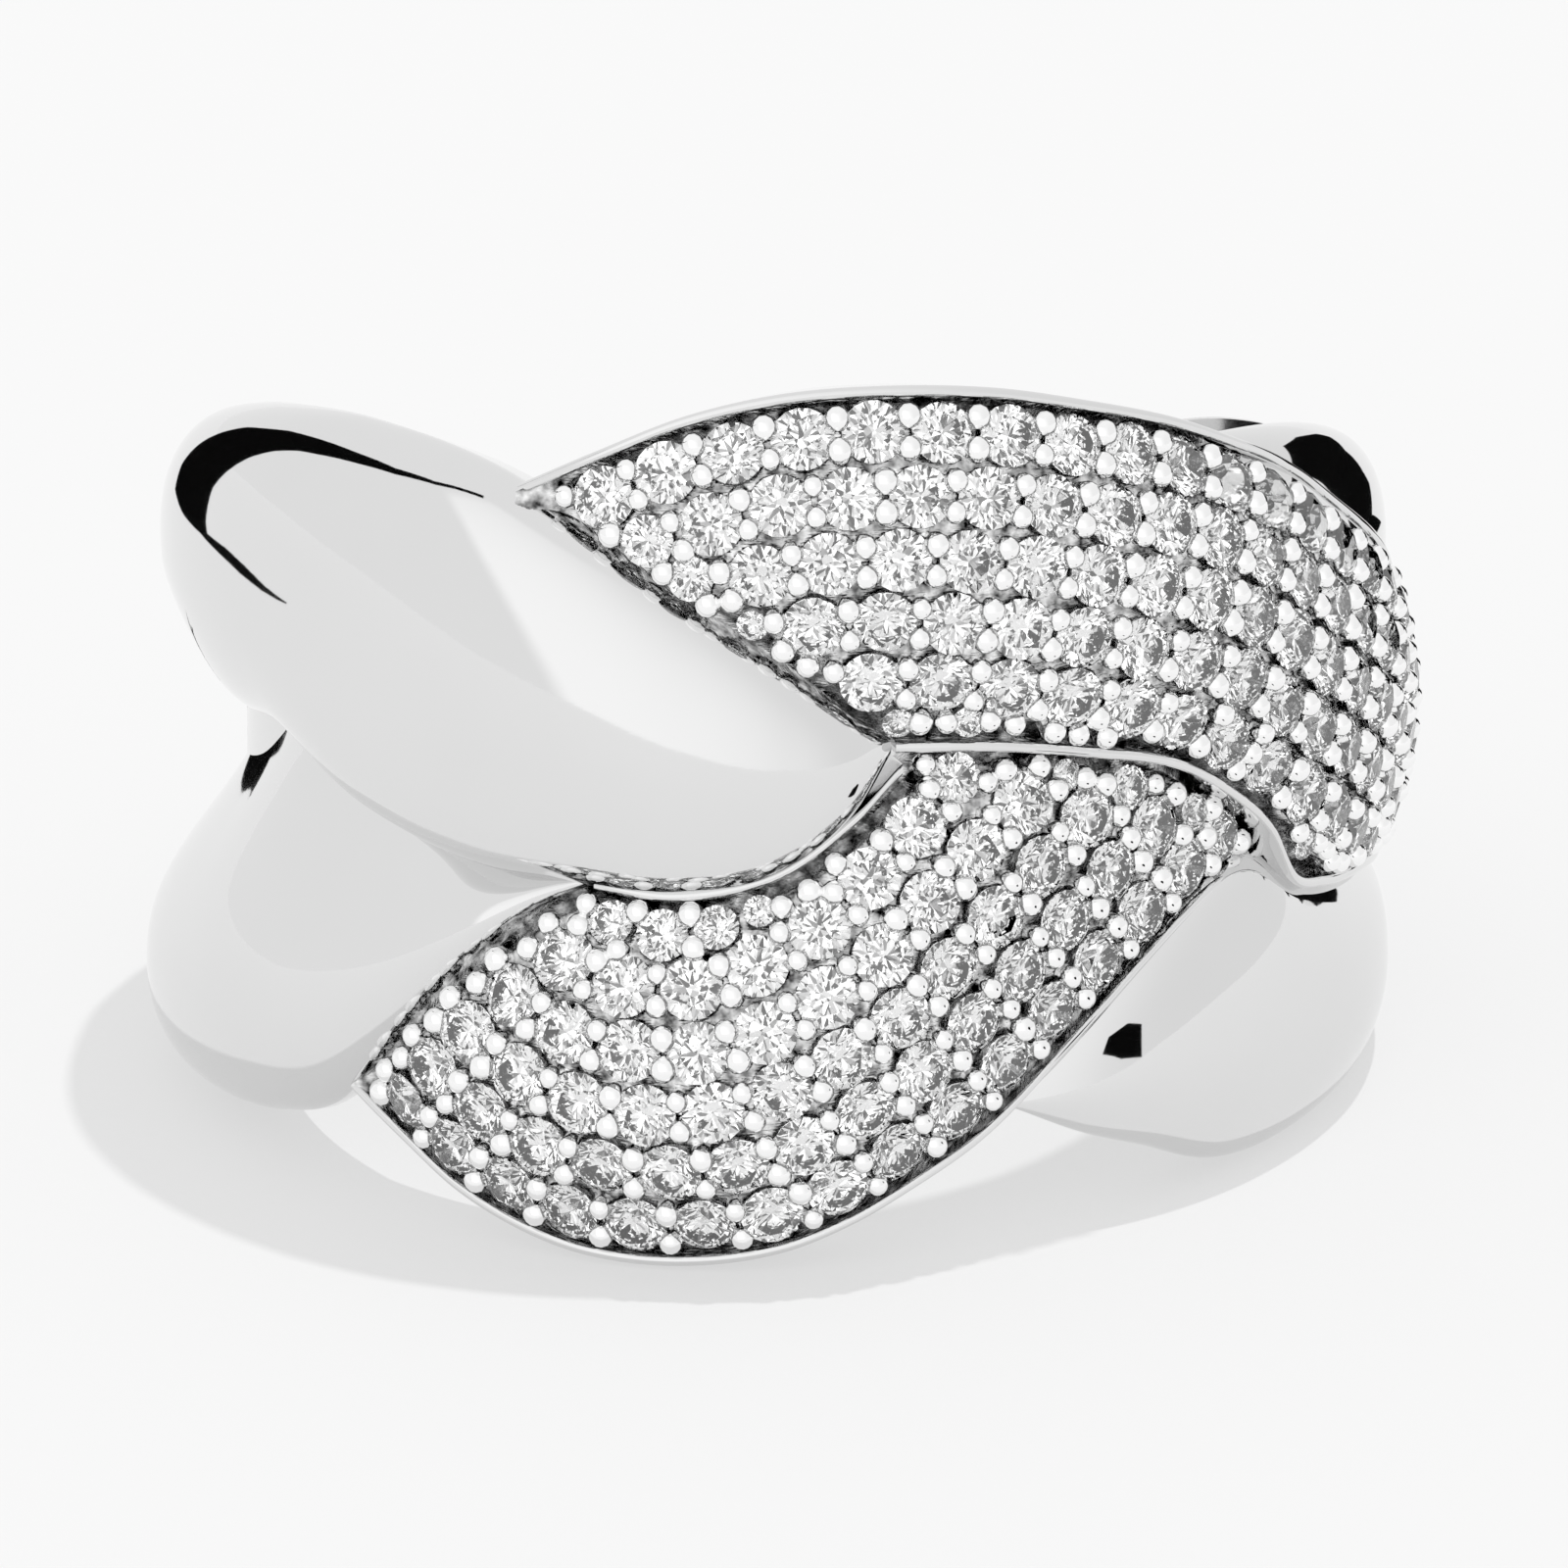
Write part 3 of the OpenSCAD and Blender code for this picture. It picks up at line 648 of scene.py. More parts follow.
# Ladders stand square to the edge at each angle; their rungs are a row's pitch apart over
# the leaf, and rung k of every ladder together is the line of row k
def rowLines(leaf, side, start, end, count):
    angle = np.arange(start, end + 1e-9, setting["ladderStep"])
    d = unroll(leaf, side, angle + 0.5) - unroll(leaf, side, angle - 0.5)
    inward = (1 if side == 1 else -1) * np.stack([d[:, 1], -d[:, 0]], axis=-1)
    inward /= np.linalg.norm(inward, axis=-1, keepdims=True)
    reach = np.arange(0, count + 1e-9, 1 / 6) * rowPitch
    walk = unroll(leaf, side, angle)[:, None] + reach[None, :, None] * inward[:, None]
    run = runLength(onSkin(leaf, walk))
    rungs = setting["rim"] + rowPitch / 2 + np.arange(count) * rowPitch
    spots = np.stack([atLength(w, r, rungs) for w, r in zip(walk, run)])
    return [spots[:, k] for k in range(count)]


# Inside the fences: above (1) or below (-1) each edge and clear of it
def inside(points, fences, size):
    a = angleOf(points)
    keep = np.ones(len(points), bool)
    for leaf, side, start, end, way, gap in fences:
        near = gap + size / 2 + setting["lip"]
        right = way * (points[:, 1] - edgeZ(leaf, side, a)) > 0
        keep &= right | (a < start) | (a > end)
        keep &= awayFrom(points, edgePoints(leaf, side, start, end, setting["ladderStep"])) >= near
    return keep


# Stones at equal steps along each row, and a pair of bead spots half a step to each side
def field(leaf, side, start, end, fences):
    count = int(math.floor(halfWidth / rowPitch))
    stones, beads = [], []
    for k, line in enumerate(rowLines(leaf, side, start, end, count)):
        run = runLength(onSkin(leaf, line))
        s = np.arange(pitch * (setting["rowStart"] + (k % 2) / 2), run[-1], pitch)
        p = atLength(line, run, s)
        a = angleOf(p)
        good = (a > start) & (a < end) & inside(p, fences, setting["stone"])
        stones.append(p[good])
        s = s[good]
        for middle in (s - pitch / 2, s + pitch / 2):
            q = atLength(line, run, middle)
            ahead = atLength(line, run, middle + 0.1) - q
            across = np.stack([-ahead[:, 1], ahead[:, 0]], axis=-1)
            across /= np.maximum(np.linalg.norm(across, axis=-1, keepdims=True), 1e-6)
            beads += [q + across * setting["beadOut"], q - across * setting["beadOut"]]
    return np.concatenate(stones), np.concatenate(beads)


# One of each group of points nearer to each other than a distance: the first of them
def thinned(points, least):
    apart = np.linalg.norm(points[:, None] - points[None], axis=-1)
    earlier = np.tril(apart < least, -1)
    keep = np.ones(len(points), bool)
    for i in range(len(points)):
        keep[i] = not np.any(earlier[i] & keep)
    return points[keep]


# Free spots of a field: a grid of points inside the fences, each with its distance from the
# nearest fence and from the nearest stone that is there already, all measured on the skin
def freeSpots(leaf, start, end, fences):
    x = np.arange(math.radians(start) * rowR, math.radians(end) * rowR, setting["gridStep"])
    z = np.arange(-halfWidth, halfWidth, setting["gridStep"])
    grid = np.stack(np.meshgrid(x, z, indexing="ij"), axis=-1).reshape(-1, 2)
    a = angleOf(grid)
    on = (grid[:, 1] < edgeZ(leaf, 1, a)) & (grid[:, 1] > edgeZ(leaf, 2, a))
    grid, a = grid[on], a[on]
    here, room = onSkin(leaf, grid), np.full(len(grid), np.inf)
    for other, side, first, last, way, gap in fences:
        beyond = (way * (grid[:, 1] - edgeZ(other, side, a)) <= 0) & (a >= first) & (a <= last)
        line = onSkin(leaf, edgePoints(other, side, first, last, setting["edgeStep"]))
        away = awayFrom(here, line) - gap
        room = np.minimum(room, np.where(beyond, -1, away))
    return grid[room > 0], here[room > 0], room[room > 0]


# Stones that fill what the rows leave: for each size, from the largest, the first free spot
# from the left is taken again and again until none is left
def fillStones(leaf, spots, grid, here, room):
    gap = awayFrom(here, onSkin(leaf, spots)) - setting["shownStone"] / 2
    added, addedSizes = [], []
    for size in setting["fillSizes"]:
        while True:
            unused = np.flatnonzero((gap >= size / 2 + setting["fillApart"])
                                    & (room >= size / 2 + setting["fillEdge"]))
            if len(unused) == 0:
                break
            i = unused[np.argmin(grid[unused, 0] + 0.3 * gap[unused])]
            added.append(grid[i])
            addedSizes.append(size)
            gap = np.minimum(gap, np.linalg.norm(here - here[i], axis=-1) - size / 2)
    return np.array(added).reshape(-1, 2), np.array(addedSizes), gap


# Beads in the gaps that are left, the tightest gap first
def fillBeads(leaf, beadSpots, grid, here, room, gap):
    near = awayFrom(here, onSkin(leaf, beadSpots))
    added = []
    while True:
        unused = np.flatnonzero((gap >= setting["beadFromStone"]) & (near >= setting["beadApart"])
                               & (room >= setting["beadFromEdge"]))
        if len(unused) == 0:
            break
        i = unused[np.argmin(gap[unused] + 0.02 * grid[unused, 0])]
        added.append(grid[i])
        near = np.minimum(near, np.linalg.norm(here - here[i], axis=-1))
    return np.array(added).reshape(-1, 2)


# Normal of the skin: square to a small step along the leaf and one across it
def normalAt(leaf, p):
    here = onSkin(leaf, p)
    along, up = (onSkin(leaf, p + step) - here for step in ([0.05, 0], [0, 0.05]))
    n = np.cross(along, up)
    return here, n / np.linalg.norm(n, axis=-1, keepdims=True)


# Frames on the skin: each has its normal and two directions square to it
def framesAt(leaf, p, spin):
    here, n = normalAt(leaf, p)
    u = np.cross(n, np.array([0.0, 0, 1]))
    u /= np.linalg.norm(u, axis=-1, keepdims=True)
    v = np.cross(n, u)
    c, s = np.cos(spin)[:, None], np.sin(spin)[:, None]
    return here, np.stack([u * c + v * s, v * c - u * s, n], axis=-1)


def ringOf(angles, r, z):
    return np.stack([r * np.cos(angles), r * np.sin(angles), np.full(len(angles), z)], axis=-1)


# A brilliant cut of diameter 1 with its table at height 0: rings of corners at 8 or 16 angles.
# The kites' planes fall from the table's corners to the girdle, and the star tips lie on them.
def brilliant():
    tableR, crown, girdle, pavilion = 0.28, 0.15, 0.03, 0.43
    eight = np.radians(np.arange(8) * 45.0)
    between = eight + np.radians(22.5)
    sixteen = np.radians(np.arange(16) * 22.5)
    starR = 0.365
    starZ = -crown * (starR * math.cos(math.pi / 8) - tableR) / (0.5 - tableR)
    lowR = 0.12
    lowZ = -crown - girdle - pavilion * (1 - lowR * math.cos(math.pi / 8) / 0.5)
    points = np.concatenate([
        ringOf(eight, tableR, 0), ringOf(between, starR, starZ), ringOf(sixteen, 0.5, -crown),
        ringOf(sixteen, 0.5, -crown - girdle), ringOf(between, lowR, lowZ),
        [[0, 0, -crown - girdle - pavilion]]])
    table, star, top, bottom, low, point = 0, 8, 16, 32, 48, 56
    faces = [[table + i for i in range(8)]]
    for i in range(8):
        j, g = (i + 1) % 8, 2 * i
        faces += [[table + i, star + i, table + j],
                  [table + i, star + (i - 1) % 8, top + g, star + i],
                  [star + i, top + g, top + g + 1],
                  [star + i, top + g + 1, top + (g + 2) % 16],
                  [low + i, bottom + g + 1, bottom + g],
                  [low + i, bottom + (g + 2) % 16, bottom + g + 1],
                  [point, low + i, bottom + g, low + (i - 1) % 8]]
        for k in (g, g + 1):
            faces.append([top + k, bottom + k, bottom + (k + 1) % 16, top + (k + 1) % 16])
    return points, faces


# A bead: a dome of rings that narrow to a pole, squarer than a ball as a cupped tool leaves
# it, on a short straight neck: r^p + z^p = 1
def beadShape():
    sides, rings, neck, power = 11, 5, -2.2, 2 / 2.1
    lift = np.linspace(0, math.pi / 2, rings)[:-1]
    turnAngles = np.arange(sides) * 2 * math.pi / sides
    levels = [(1.0, neck)] + [(math.cos(a) ** power, math.sin(a) ** power - 1) for a in lift]
    points = np.concatenate([ringOf(turnAngles, r, z) for r, z in levels] + [[[0, 0, 0]]])
    faces = [list(f[::-1]) for f in gridFaces(len(levels), sides, False, True)]
    last = (len(levels) - 1) * sides
    faces += [[last + i, last + (i + 1) % sides, len(points) - 1] for i in range(sides)]
    faces.append([sides - 1 - i for i in range(sides)])
    return points, faces


# Copies of one shape, each scaled, turned by its frame and moved, joined into one mesh
def scatter(name, shape, spots, frames, sizes, material, smooth):
    points, faces = shape
    placed = np.einsum("nij,mj->nmi", frames, points) * sizes[:, None, None] + spots[:, None]
    start = np.arange(len(spots)) * len(points)
    everyFace = [[int(s) + k for k in f] for s in start for f in faces]
    return makeObject(name, lay(placed.reshape(-1, 3)), everyFace, material, smooth)


fields = {
    "upper": (upper, 1, -25.5, 104 - math.degrees((setting["stone"] / 2 + setting["lip"]) / rowR), [
        (leftTop, 1, -25.5, 10.3, 1, 0), (upper, 2, 11, 104, 1, setting["rim"])]),
    "lower": (lower, 2, -47.5, 54, [
        (leftLow, 2, -47.5, -19, -1, 0), (lower, 1, -18.4, 11.5, -1, setting["rim"]),
        (upper, 2, 11, 54, -1, 0)]),
}
wells = {}
for name, (leaf, side, start, end, fences) in fields.items():
    spots, beadSpots = field(leaf, side, start, end, fences)
    rowStones = len(spots)
    own = (leaf, side, start - 1, end + 1, -1 if side == 1 else 1, setting["rim"])
    ends = [(other, edge, max(first, start), min(last, end), way, gap)
            for other, edge, first, last, way, gap in fences]
    grid, skinPoints, room = freeSpots(leaf, start, end, ends + [own])
    more, moreSizes, gap = fillStones(leaf, spots, grid, skinPoints, room)
    spots = np.concatenate([spots, more])
    sizes = np.concatenate([np.full(rowStones, setting["shownStone"]), moreSizes])
    here, frames = framesAt(leaf, spots, rng.uniform(0, math.pi / 4, len(spots)))
    tilt = rng.normal(0, setting["tilt"], (len(spots), 2))
    frames[:, :, 2] += frames[:, :, 0] * tilt[:, :1] + frames[:, :, 1] * tilt[:, 1:]
    frames[:, :, 2] /= np.linalg.norm(frames[:, :, 2], axis=-1, keepdims=True)
    frames[:, :, 1] = np.cross(frames[:, :, 2], frames[:, :, 0])
    frames[:, :, 0] = np.cross(frames[:, :, 1], frames[:, :, 2])
    cut = brilliant()
    stones = scatter(name + "_stones_cut", cut, here, frames, sizes, clearStone, False)
    tone = stones.data.attributes.new("stoneTone", "FLOAT", "POINT")
    tone.data.foreach_set("value", np.repeat(rng.uniform(0, 1, len(spots)), len(cut[0])))
    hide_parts(name + "_stones")
    wells[name] = (here, frames[:, :, 2], sizes)
    beadSpots = thinned(beadSpots, setting["pairApart"])
    clear = np.linalg.norm(onSkin(leaf, beadSpots)[:, None] - here[None], axis=-1) - sizes / 2
    beadSpots = beadSpots[clear.min(axis=1) > setting["pairFromStone"]]
    beadFences = [fence[:5] + (max(0, fence[5] - setting["beadRadius"]),) for fence in fences]
    a, need = angleOf(beadSpots), setting["beadNeed"]
    beadSpots = beadSpots[(a > start) & (a < end) & inside(beadSpots, beadFences, need)]
    off = np.abs(beadSpots[:, 1] - edgeZ(leaf, side, angleOf(beadSpots)))
    beadSpots = beadSpots[off > setting["rim"] + setting["beadFromRim"]]
    beadSpots = np.concatenate([
        beadSpots, fillBeads(leaf, beadSpots, grid, skinPoints, room, gap)])
    beadHere, beadFrames = framesAt(leaf, beadSpots, np.zeros(len(beadSpots)))
    beadHere = beadHere + beadFrames[:, :, 2] * setting["beadTop"]
    beadSizes = setting["beadRadius"] * rng.uniform(*setting["beadSpread"], len(beadSpots))
    # The beads' metal is painted paler than the leaves' as a painted highlight
    beads = scatter(name + "_beads", beadShape(), beadHere, beadFrames, beadSizes, beadMetalPaintedHighlight, True)
    bandPieces.append(beads)
    print(name, rowStones, "stones in rows and", len(more), "between,", len(beadSpots), "beads")

# The metal between the stones, level with their girdles, with a well under each stone
bedding = {
    "stepAngle": 0.35,
    "across": 97,
    "drop": 0.3,             # from the stones' tables to the metal between them
    "wellShare": 0.46,       # radius of a well as a share of the stone's diameter
    "wellSlope": 0.86,       # how steeply a well falls, to clear the stone's point
    "tipRamp": 6.0,          # angle over which the metal rises to the rim at a leaf's tip
    "lip": 0.05,             # step down into a well
    "channel": 0.3,          # how deep the metal drops beside the rims and the leaf above
    "channelWide": 0.3,      # how wide the channel's slope is
    "channelFlat": 0.08,     # and its floor
}


# The skin is lowered by the drop, which eases in from the leaf's tip, by a channel that eases
# out with the distance from the nearest edge, and inside a well in proportion to the distance
# from its rim, along the stone's own axis
def bed(name, leaf, start, end, leanUp, leanLow):
    angle = angleRow(start, end, bedding["stepAngle"])[:, None]
    lo, hi = edgeZ(leaf, 2, angle), edgeZ(leaf, 1, angle)
    reach = 1 - setting["rim"] / (hi - lo)
    t = np.linspace(-1, 1, bedding["across"])[None, :] * reach
    skin = skinAt(leaf, angle, t, camberedDome(t))
    sunk = ease((angle - start) / bedding["tipRamp"])
    outward = place(angle, 1.0, 0.0)
    z = mix(lo, hi, (t + 1) / 2)
    away = np.minimum(hi - z, z - lo) - setting["rim"]         # from the nearest edge
    flatSkin = skin.reshape(-1, 3)
    for other, side, first, last, way, gap in fields[name][4]:
        line = onSkin(leaf, edgePoints(other, side, first, last, setting["edgeStep"]))
        away = np.minimum(away, (awayFrom(flatSkin, line) - gap).reshape(away.shape))
    slope = (away - bedding["channelFlat"]) / bedding["channelWide"]
    channel = bedding["channel"] * (1 - ease(slope))
    skin = skin - outward * ((bedding["drop"] + channel) * sunk)[..., None]
    centres, ways, across = wells[name]
    flat = skin.reshape(-1, 3)
    gap = flat[:, None] - centres[None]
    along = np.einsum("nmi,mi->nm", gap, ways)
    off = np.linalg.norm(gap - along[..., None] * ways[None], axis=-1)
    off = off - across[None] * bedding["wellShare"]            # less than 0 inside a well
    nearest = off.argmin(axis=1)
    d = off[np.arange(len(flat)), nearest]
    depth = np.clip(-d, 0, None) * bedding["wellSlope"]
    depth += bedding["lip"] * ease(-d / bedding["lip"])
    flat = flat - ways[nearest] * depth[:, None]
    skin = flat.reshape(skin.shape)
    footR = footRadius(leaf)
    half = setting["rim"] / 2
    most = polished["leanShare"] * (hi - lo)
    low = place(angle, footR, lo + np.minimum(leanLow, most) + half)
    high = place(angle, footR, hi - np.minimum(leanUp, most) - half)
    # The bed's metal carries painted shade: darker than the leaves' own, with painted flecks of
    # light and shade
    return sweptBody(name + "_bed", [low, skin, high], bedMetalPaintedShade, sharp=30)


bandPieces.append(bed("upper", upper, -25.5, 104.6, rimLean, 0))
bandPieces.append(bed("lower", lower, -47.5, 57, 0, rimLean))

# Rims: a narrow wall beside the stones with a rounded top
rims = {"width": 0.2, "round": 0.09, "depth": 0.95, "spread": 0.02, "footUnder": 0.01}


# The section is carried along the edge: the outer wall from the foot, a rounded top level
# with the stones' tables, and an inner wall down past the metal between the stones
def rim(name, leaf, side, start, end, lean):
    angle = angleRow(start, end, 0.5)
    way = -1 if side == 1 else 1
    edge, z = heightR(leaf, side + 3, angle), edgeZ(leaf, side, angle)
    footR, r0 = footRadius(leaf) - rims["footUnder"], rims["round"]
    turnIn = np.linspace(0, np.pi / 2, 6)[None, :]
    outer = wall(leaf, side, lean, angle, edge - r0, footR, 4)[:, ::-1]
    cornerOut = place(angle[:, None], edge[:, None] - r0 * (1 - np.sin(turnIn)),
                      z[:, None] + way * r0 * (1 - np.cos(turnIn)))
    cornerIn = place(angle[:, None], edge[:, None] - r0 * (1 - np.cos(turnIn)),
                     z[:, None] + way * (rims["width"] - r0 * (1 - np.sin(turnIn))))
    inner = place(angle[:, None], (edge - rims["depth"])[:, None],
                  (z + way * (rims["width"] + rims["spread"]))[:, None])
    return sweptBody(name, [outer, cornerOut, cornerIn, inner], brightMetal)


bandPieces += [
    rim("upper_rim_top", upper, 1, -25.4, 104.8, rimLean),
    rim("upper_rim_low", upper, 2, 10.6, 104.9, 0),
    rim("lower_rim_top", lower, 1, -18.4, 11.5, 0),
    rim("lower_rim_low", lower, 2, -47.3, 57.2, rimLean),
]
print("beds and rims")

# The sleeve that the finger meets: it closes the seams and rounds the bore's edges
sleeve = {
    "count": 720,            # sections round the bore
    "round": 0.25,
    "depth": 0.3,
    "inset": 0.02,           # of the outer wall's edges
    "outlineHeight": 0.2,    # height over the bore at which the leaves' outline is taken
    "galleryHeight": 0.27,   # as a share of the crest
    "galleryHigh": 0.35,     # as shares of the half width
    "galleryLow": -0.42,
}


# Upper and lower outline of the whole ring at the bore: the furthest wall of any leaf
def outlineAt(angle):
    spans = [(leftTop, -360, 10.3, freeLean, 0), (leftLow, -360, -19, 0, freeLean),
             (rightLow, 24, 360, 0, freeLean), (rightTop, 40, 360, freeLean, 0),
             (upper, -25.5, 360, rimLean, 0), (lower, -47.5, 57, 0, rimLean)]
    b = np.where(angle > 180, angle - 360, angle)
    hi, lo = np.full(len(b), -99.0), np.full(len(b), 99.0)
    for leaf, start, end, leanUp, leanLow in spans:
        here = (b >= start) & (b <= end)
        radius = boreRadius + sleeve["outlineHeight"]
        top = edgeZ(leaf, 1, b) - leanAt(leaf, 1, leanUp, b, radius)
        low = edgeZ(leaf, 2, b) + leanAt(leaf, 2, leanLow, b, radius)
        hi, lo = np.where(here, np.maximum(hi, top), hi), np.where(here, np.minimum(lo, low), lo)
    return hi, lo


# A thin wall round the bore whose two edges are quarter circles, following the outline
def sleeveBody():
    angle = np.linspace(-180, 180, sleeve["count"], endpoint=False)
    hi, lo = outlineAt(angle)
    r0 = sleeve["round"]
    q = np.linspace(0, np.pi / 2, 7)[None, :]
    a = angle[:, None]

    def bothSides(radius, inset):
        return [place(a, radius, z[:, None] + way * inset) for z, way in ((hi, -1), (lo, 1))]

    highEdge, lowEdge = bothSides(boreRadius + r0 * (1 - np.cos(q)), r0 * (1 - np.sin(q)))
    outer = bothSides(boreRadius + sleeve["depth"], sleeve["inset"])
    return sweptBody("bore_sleeve", [highEdge, *outer, lowEdge[:, ::-1]], innerMetal,
                     wrapRows=True)


# The band under the set leaves that carries them over the finger
def gallery():
    angle = angleRow(-105, 105, 1.5)[:, None]
    top = boreRadius + sleeve["galleryHeight"] * ring["crestHeight"]
    lo, hi = halfWidth * sleeve["galleryLow"], halfWidth * sleeve["galleryHigh"]
    under = boreRadius + sleeve["outlineHeight"]
    corners = [(under, lo), (top, lo), (top, hi), (under, hi)]
    return sweptBody("gallery", [place(angle, r, z) for r, z in corners], innerMetal)


bandPieces += [sleeveBody(), gallery()]
for piece in bandPieces:
    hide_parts("band")
print("sleeve")

# Floor, flags and light. Directions are given as the photographer has them: azimuth in degrees
# from straight behind the ring, to the right above 0, and elevation
studio = {
    "floorTone": 0.25,
    "floorGlow": 0.552,       # the floor is a table lit from below
    "sky": 0.93,
    "skyRight": 0.055,        # how much dimmer the tent is to the right
    "softbox": 1.2,
    "softboxEdge": ((-142, 0), (-107, 45)),  # two spots of its left side
    "softboxMiddle": (-165, 25),
    "softboxRight": 135,      # it fades out round this azimuth
    "softboxTop": 66,         # elevation
    "softboxTilt": 0.2,       # how far its near side leans down
    "leftSoft": (-0.05, 0.05),               # how soft its sides are: distances of unit rays
    "rightSoft": (-0.2, 1.3),                # from the planes, the top's in degrees
    "nearSoft": (-0.06, 0.06),
    "topSoft": (-4, 4),
    "dimSoft": (0.2, 0.9),
    "sparkleScale": 5.0,
    "sparkle": {"From Min": 0.38, "From Max": 0.62, "To Min": 0.08, "To Max": 1.9},
    "keyStrength": 2.0,
    "keyAngle": 1.6,
    "keyWay": (0.19, 0.2, 1.0),               # right, behind, up
}
floorMesh = bpy.data.meshes.new("floor")
reach = 12.0                       # metres, so that it meets the horizon
base = cadLow[2] - 0.00002
floorMesh.from_pydata([(-reach, -reach, base), (reach, -reach, base), (reach, reach, base),
                       (-reach, reach, base)], [], [(0, 1, 2, 3)])
floor = addObject("floor", floorMesh)


def matt(name, tone, roughness, specular, glow=0):
    return newMaterial(name, {
        "Base Color": (tone, tone, tone, 1), "Roughness": roughness,
        "Specular IOR Level": specular, "Emission Color": (1, 1, 1, 1),
        "Emission Strength": glow})[0]


floorMesh.materials.append(matt("paleFloor", studio["floorTone"], 0.7, 0.05, studio["floorGlow"]))
black = matt("flagBlack", 0.004, 1.0, 0.0)

behind = -towardCamera * [1, 1, 0]
behind /= np.linalg.norm(behind)
rightward = np.array([behind[1], -behind[0], 0])


def direction(azimuth, elevation):
    az, el = math.radians(azimuth), math.radians(elevation)
    level = math.cos(az) * behind + math.sin(az) * rightward
    return math.cos(el) * level + math.sin(el) * np.array([0, 0, 1.0])


# Black flags stand beside the ring as in a studio, seen only in the polish; the front one stands in
# for the shade of the ring's own undersides mirrored there. Each is the straight ruling between two
# borders, given by the spots of the photograph, in its 1600 pixels, at which a leaf mirrors them.
flags = {
    "flag_left": {
        "leaf": (leftTopShown, slackDome, -130, 10.3), "distance": 5.5,
        "outer": [
            (297, 618), (272, 603), (250, 585), (228, 566), (208, 545), (190, 524),
            (182, 500), (189, 475), (212, 452), (257, 440), (300, 444), (330, 452),
            (370, 467), (409, 483), (450, 496), (498, 511)],
        "inner": [
            (298, 616), (276, 598), (254, 577), (234, 560), (216, 546), (214, 534),
            (222, 500), (234, 486), (262, 470), (285, 464), (310, 464), (330, 468),
            (372, 478), (409, 489), (450, 499), (498, 513)]},
    "flag_low_left": {
        "leaf": (leftLow, slopedDome, -130, -19), "distance": 10,
        "outer": [
            (270, 728), (249, 781), (243, 822)],
        "inner": [
            (298, 741), (272, 783), (246, 824)]},
    "flag_right": {
        "leaf": (rightTopShown, evenDome, 40, 130), "distance": 17.6,
        "outer": [
            (1305, 459), (1319, 450), (1341, 446), (1355, 449), (1370, 462), (1388, 483),
            (1394, 494), (1397, 512), (1396, 540)],
        "inner": [
            (1312, 498), (1325, 490), (1335, 490), (1345, 495), (1355, 505), (1365, 515),
            (1370, 525), (1375, 540), (1385, 560)]},
    "flag_low_right": {
        "leaf": (rightLow, evenDome, 24, 130), "distance": 17.6,
        "outer": [
            (1311, 908), (1330, 915), (1344, 926), (1354, 917), (1367, 900)],
        "inner": [
            (1317, 897), (1333, 898), (1345, 905), (1354, 898), (1366, 886)]},
    # This card stands in for shade: what the low right leaf mirrors there is mostly the ring's own
    # shaded undersides
    "flag_front_for_shade": {
        "leaf": (rightLow, evenDome, 24, 130), "distance": 5,
        "outer": [
            (1121, 1072), (1140, 1077), (1160, 1076)],
        "inner": [
            (1127, 1055), (1146, 1041), (1161, 1042)]},
}


# Where cards must stand that a leaf mirrors at some spots: the leaf's skin is laid out on a
# fine grid and seen by the camera, the grid's point nearest each spot is taken, and the line
# of sight is mirrored in its normal
def mirrored(leaf, dome, start, end, spots, distance):
    a, t = np.linspace(start, end, 700)[:, None], acrossShares(260)
    skin = skinAt(leaf, a, t, dome(a, t)) @ turn.T
    normal = np.cross(np.gradient(skin, axis=0), np.gradient(skin, axis=1))
    normal /= np.linalg.norm(normal, axis=-1, keepdims=True) + 1e-12
    normal *= np.sign(np.sum(normal * skin, axis=-1, keepdims=True))
    perMillimetre = view["pixels"] / view["frameWidth"]
    x = view["pixels"] / 2 + perMillimetre * (skin @ cameraRight)
    y = view["pixels"] / 2 - perMillimetre * (skin @ cameraUp + view["dropUnderBore"])
    hidden = 1e6 * (normal @ towardCamera <= 0)
    out = []
    for px, py in spots:
        i = np.unravel_index(np.argmin((x - px) ** 2 + (y - py) ** 2 + hidden), x.shape)
        away = 2 * (normal[i] @ towardCamera) * normal[i] - towardCamera
        out.append(skin[i] + away * distance)
    return np.array(out)


for name, flag in flags.items():
    one, two = (mirrored(*flag["leaf"], flag[border], flag["distance"])
                for border in ("outer", "inner"))
    points = mix(one[:, None], two[:, None], np.linspace(0, 1, 8)[None, :, None])
    points[..., 2] = np.maximum(points[..., 2], cadLow[2] / millimetre + 0.05)
    mesh = bpy.data.meshes.new(name)
    mesh.from_pydata((points * millimetre).reshape(-1, 3).tolist(), [],
                     gridFaces(*points.shape[:2]).tolist())
    mesh.materials.append(black)
    card = addObject(name, mesh)
    card.visible_camera = card.visible_diffuse = card.visible_shadow = False
    card.visible_transmission = False

world = bpy.data.worlds.new("studio")
bpy.context.scene.world = world
world.use_nodes = True
tree = world.node_tree
nodes, link = tree.nodes, tree.links.new
background = nodes["Background"]
background.inputs["Color"].default_value = (1, 1, 1, 1)
coords = nodes.new("ShaderNodeTexCoord")


# A soft step from 0 to 1 between two values
def softStep(value, first, last):
    ramp = nodes.new("ShaderNodeMapRange")
    ramp.interpolation_type = "SMOOTHSTEP"
    dial(ramp, {"From Min": first, "From Max": last})
    link(value, ramp.inputs["Value"])
    return ramp.outputs["Result"]


# 1 on the inner side of a plane through the middle, 0 on the other, with a soft step between
def withinPlane(normal, first, last):
    dot = nodes.new("ShaderNodeVectorMath")
    dot.operation = "DOT_PRODUCT"
    link(coords.outputs["Generated"], dot.inputs[0])
    dot.inputs[1].default_value = tuple(float(v) for v in normal)
    return softStep(dot.outputs["Value"], first, last)


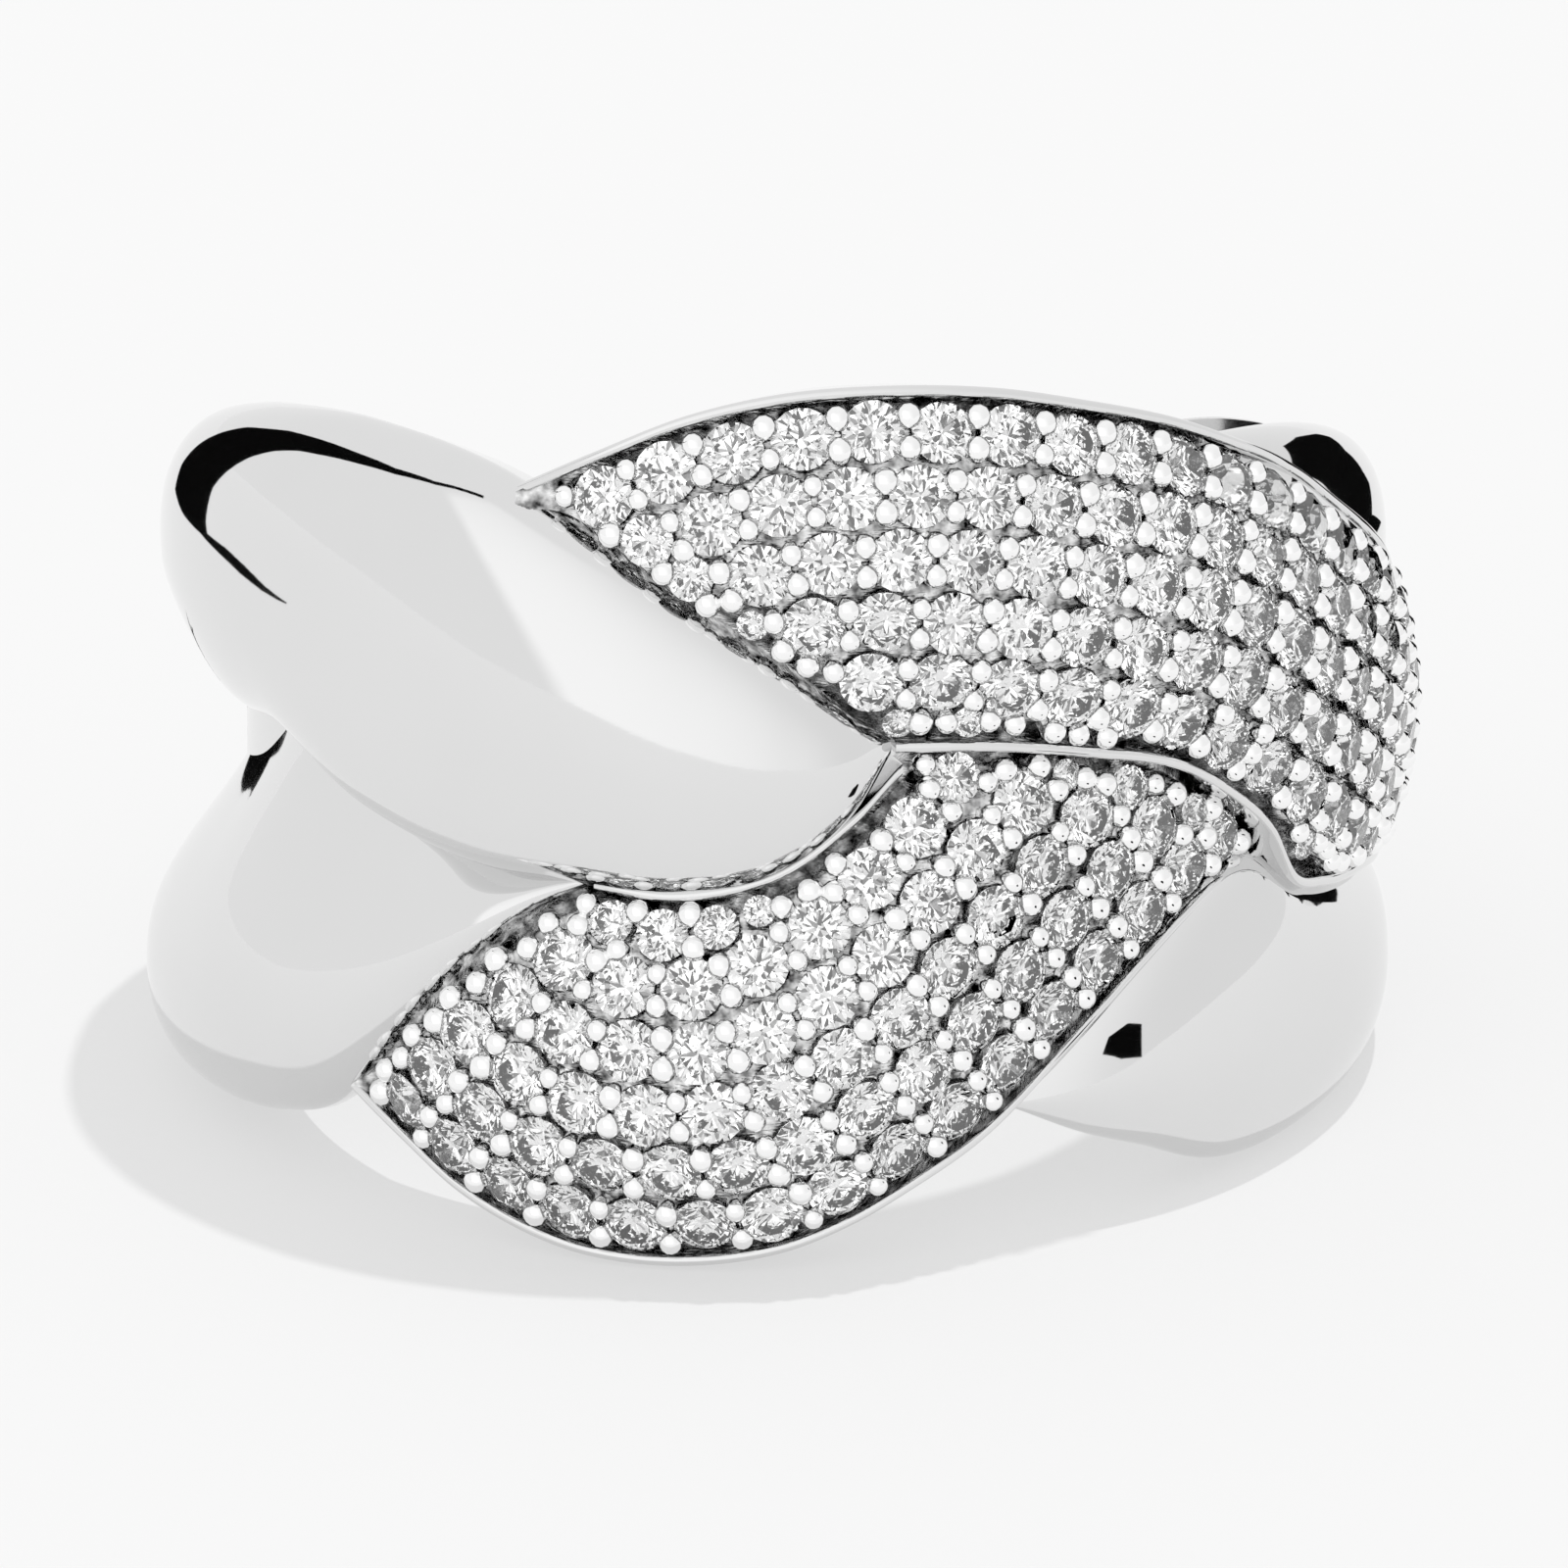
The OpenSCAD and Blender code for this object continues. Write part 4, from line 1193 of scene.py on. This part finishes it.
def joined(a, b, operation="MULTIPLY"):
    both = nodes.new("ShaderNodeMath")
    both.operation = operation
    for k, value in enumerate((a, b)):
        if isinstance(value, (int, float)):
            both.inputs[k].default_value = value
        else:
            link(value, both.inputs[k])
    return both.outputs[0]


# The softbox stands in front to the left: it is what lies within three planes and below its top
middle = direction(*studio["softboxMiddle"])
edgeA, edgeB = (direction(*spot) for spot in studio["softboxEdge"])
leftPlane = np.cross(edgeB, edgeA)
leftPlane *= np.sign(leftPlane @ middle) / np.linalg.norm(leftPlane)
rightPlane = direction(studio["softboxRight"] + 90, 0)
rightPlane *= np.sign(rightPlane @ middle)
frontPlane = mix(-behind, np.array([0, 0, -1.0]), studio["softboxTilt"])
lift = nodes.new("ShaderNodeSeparateXYZ")
link(coords.outputs["Generated"], lift.inputs[0])
topSines = [math.sin(math.radians(studio["softboxTop"] - soft)) for soft in studio["topSoft"]]
box = joined(joined(withinPlane(leftPlane, *studio["leftSoft"]),
                    withinPlane(rightPlane, *studio["rightSoft"])),
             joined(withinPlane(frontPlane, *studio["nearSoft"]),
                    softStep(lift.outputs["Z"], *topSines)))
strength = joined(joined(box, studio["softbox"] - studio["sky"]), studio["sky"], "ADD")
dimmer = joined(withinPlane(rightward, *studio["dimSoft"]), studio["skyRight"])
strength = joined(strength, dimmer, "SUBTRACT")

# Light that has been through a stone meets a tent with dark gaps and bright panels
path = nodes.new("ShaderNodeLightPath")
cells = noiseNode(nodes, studio["sparkleScale"], 1.0)
link(coords.outputs["Generated"], cells.inputs["Vector"])
gaps = nodes.new("ShaderNodeMapRange")
dial(gaps, studio["sparkle"])
link(cells.outputs["Fac"], gaps.inputs["Value"])
through = joined(path.outputs["Transmission Depth"], 0.5, "GREATER_THAN")
choose = nodes.new("ShaderNodeMix")
link(through, choose.inputs["Factor"])
link(strength, choose.inputs["A"])
link(gaps.outputs["Result"], choose.inputs["B"])
link(choose.outputs["Result"], background.inputs["Strength"])

key = bpy.data.lights.new("key", "SUN")
key.energy = studio["keyStrength"]
key.angle = math.radians(studio["keyAngle"])
keyLamp = addObject("key", key)
toRight, toBack, upward = studio["keyWay"]
keyWay = rightward * toRight + behind * toBack + [0, 0, upward]
keyLamp.location = Vector(keyWay)
keyLamp.rotation_mode = "QUATERNION"
keyLamp.rotation_quaternion = Vector(keyWay).to_track_quat("Z", "Y")
keyLamp.visible_glossy = keyLamp.visible_transmission = False

scene = bpy.context.scene
scene.view_settings.view_transform = "Standard"
scene.view_settings.look = "None"
scene.view_settings.exposure = 0.0

print("solids", [round(v * 1000, 3) for v in cadLow], [round(v * 1000, 3) for v in cadHigh])
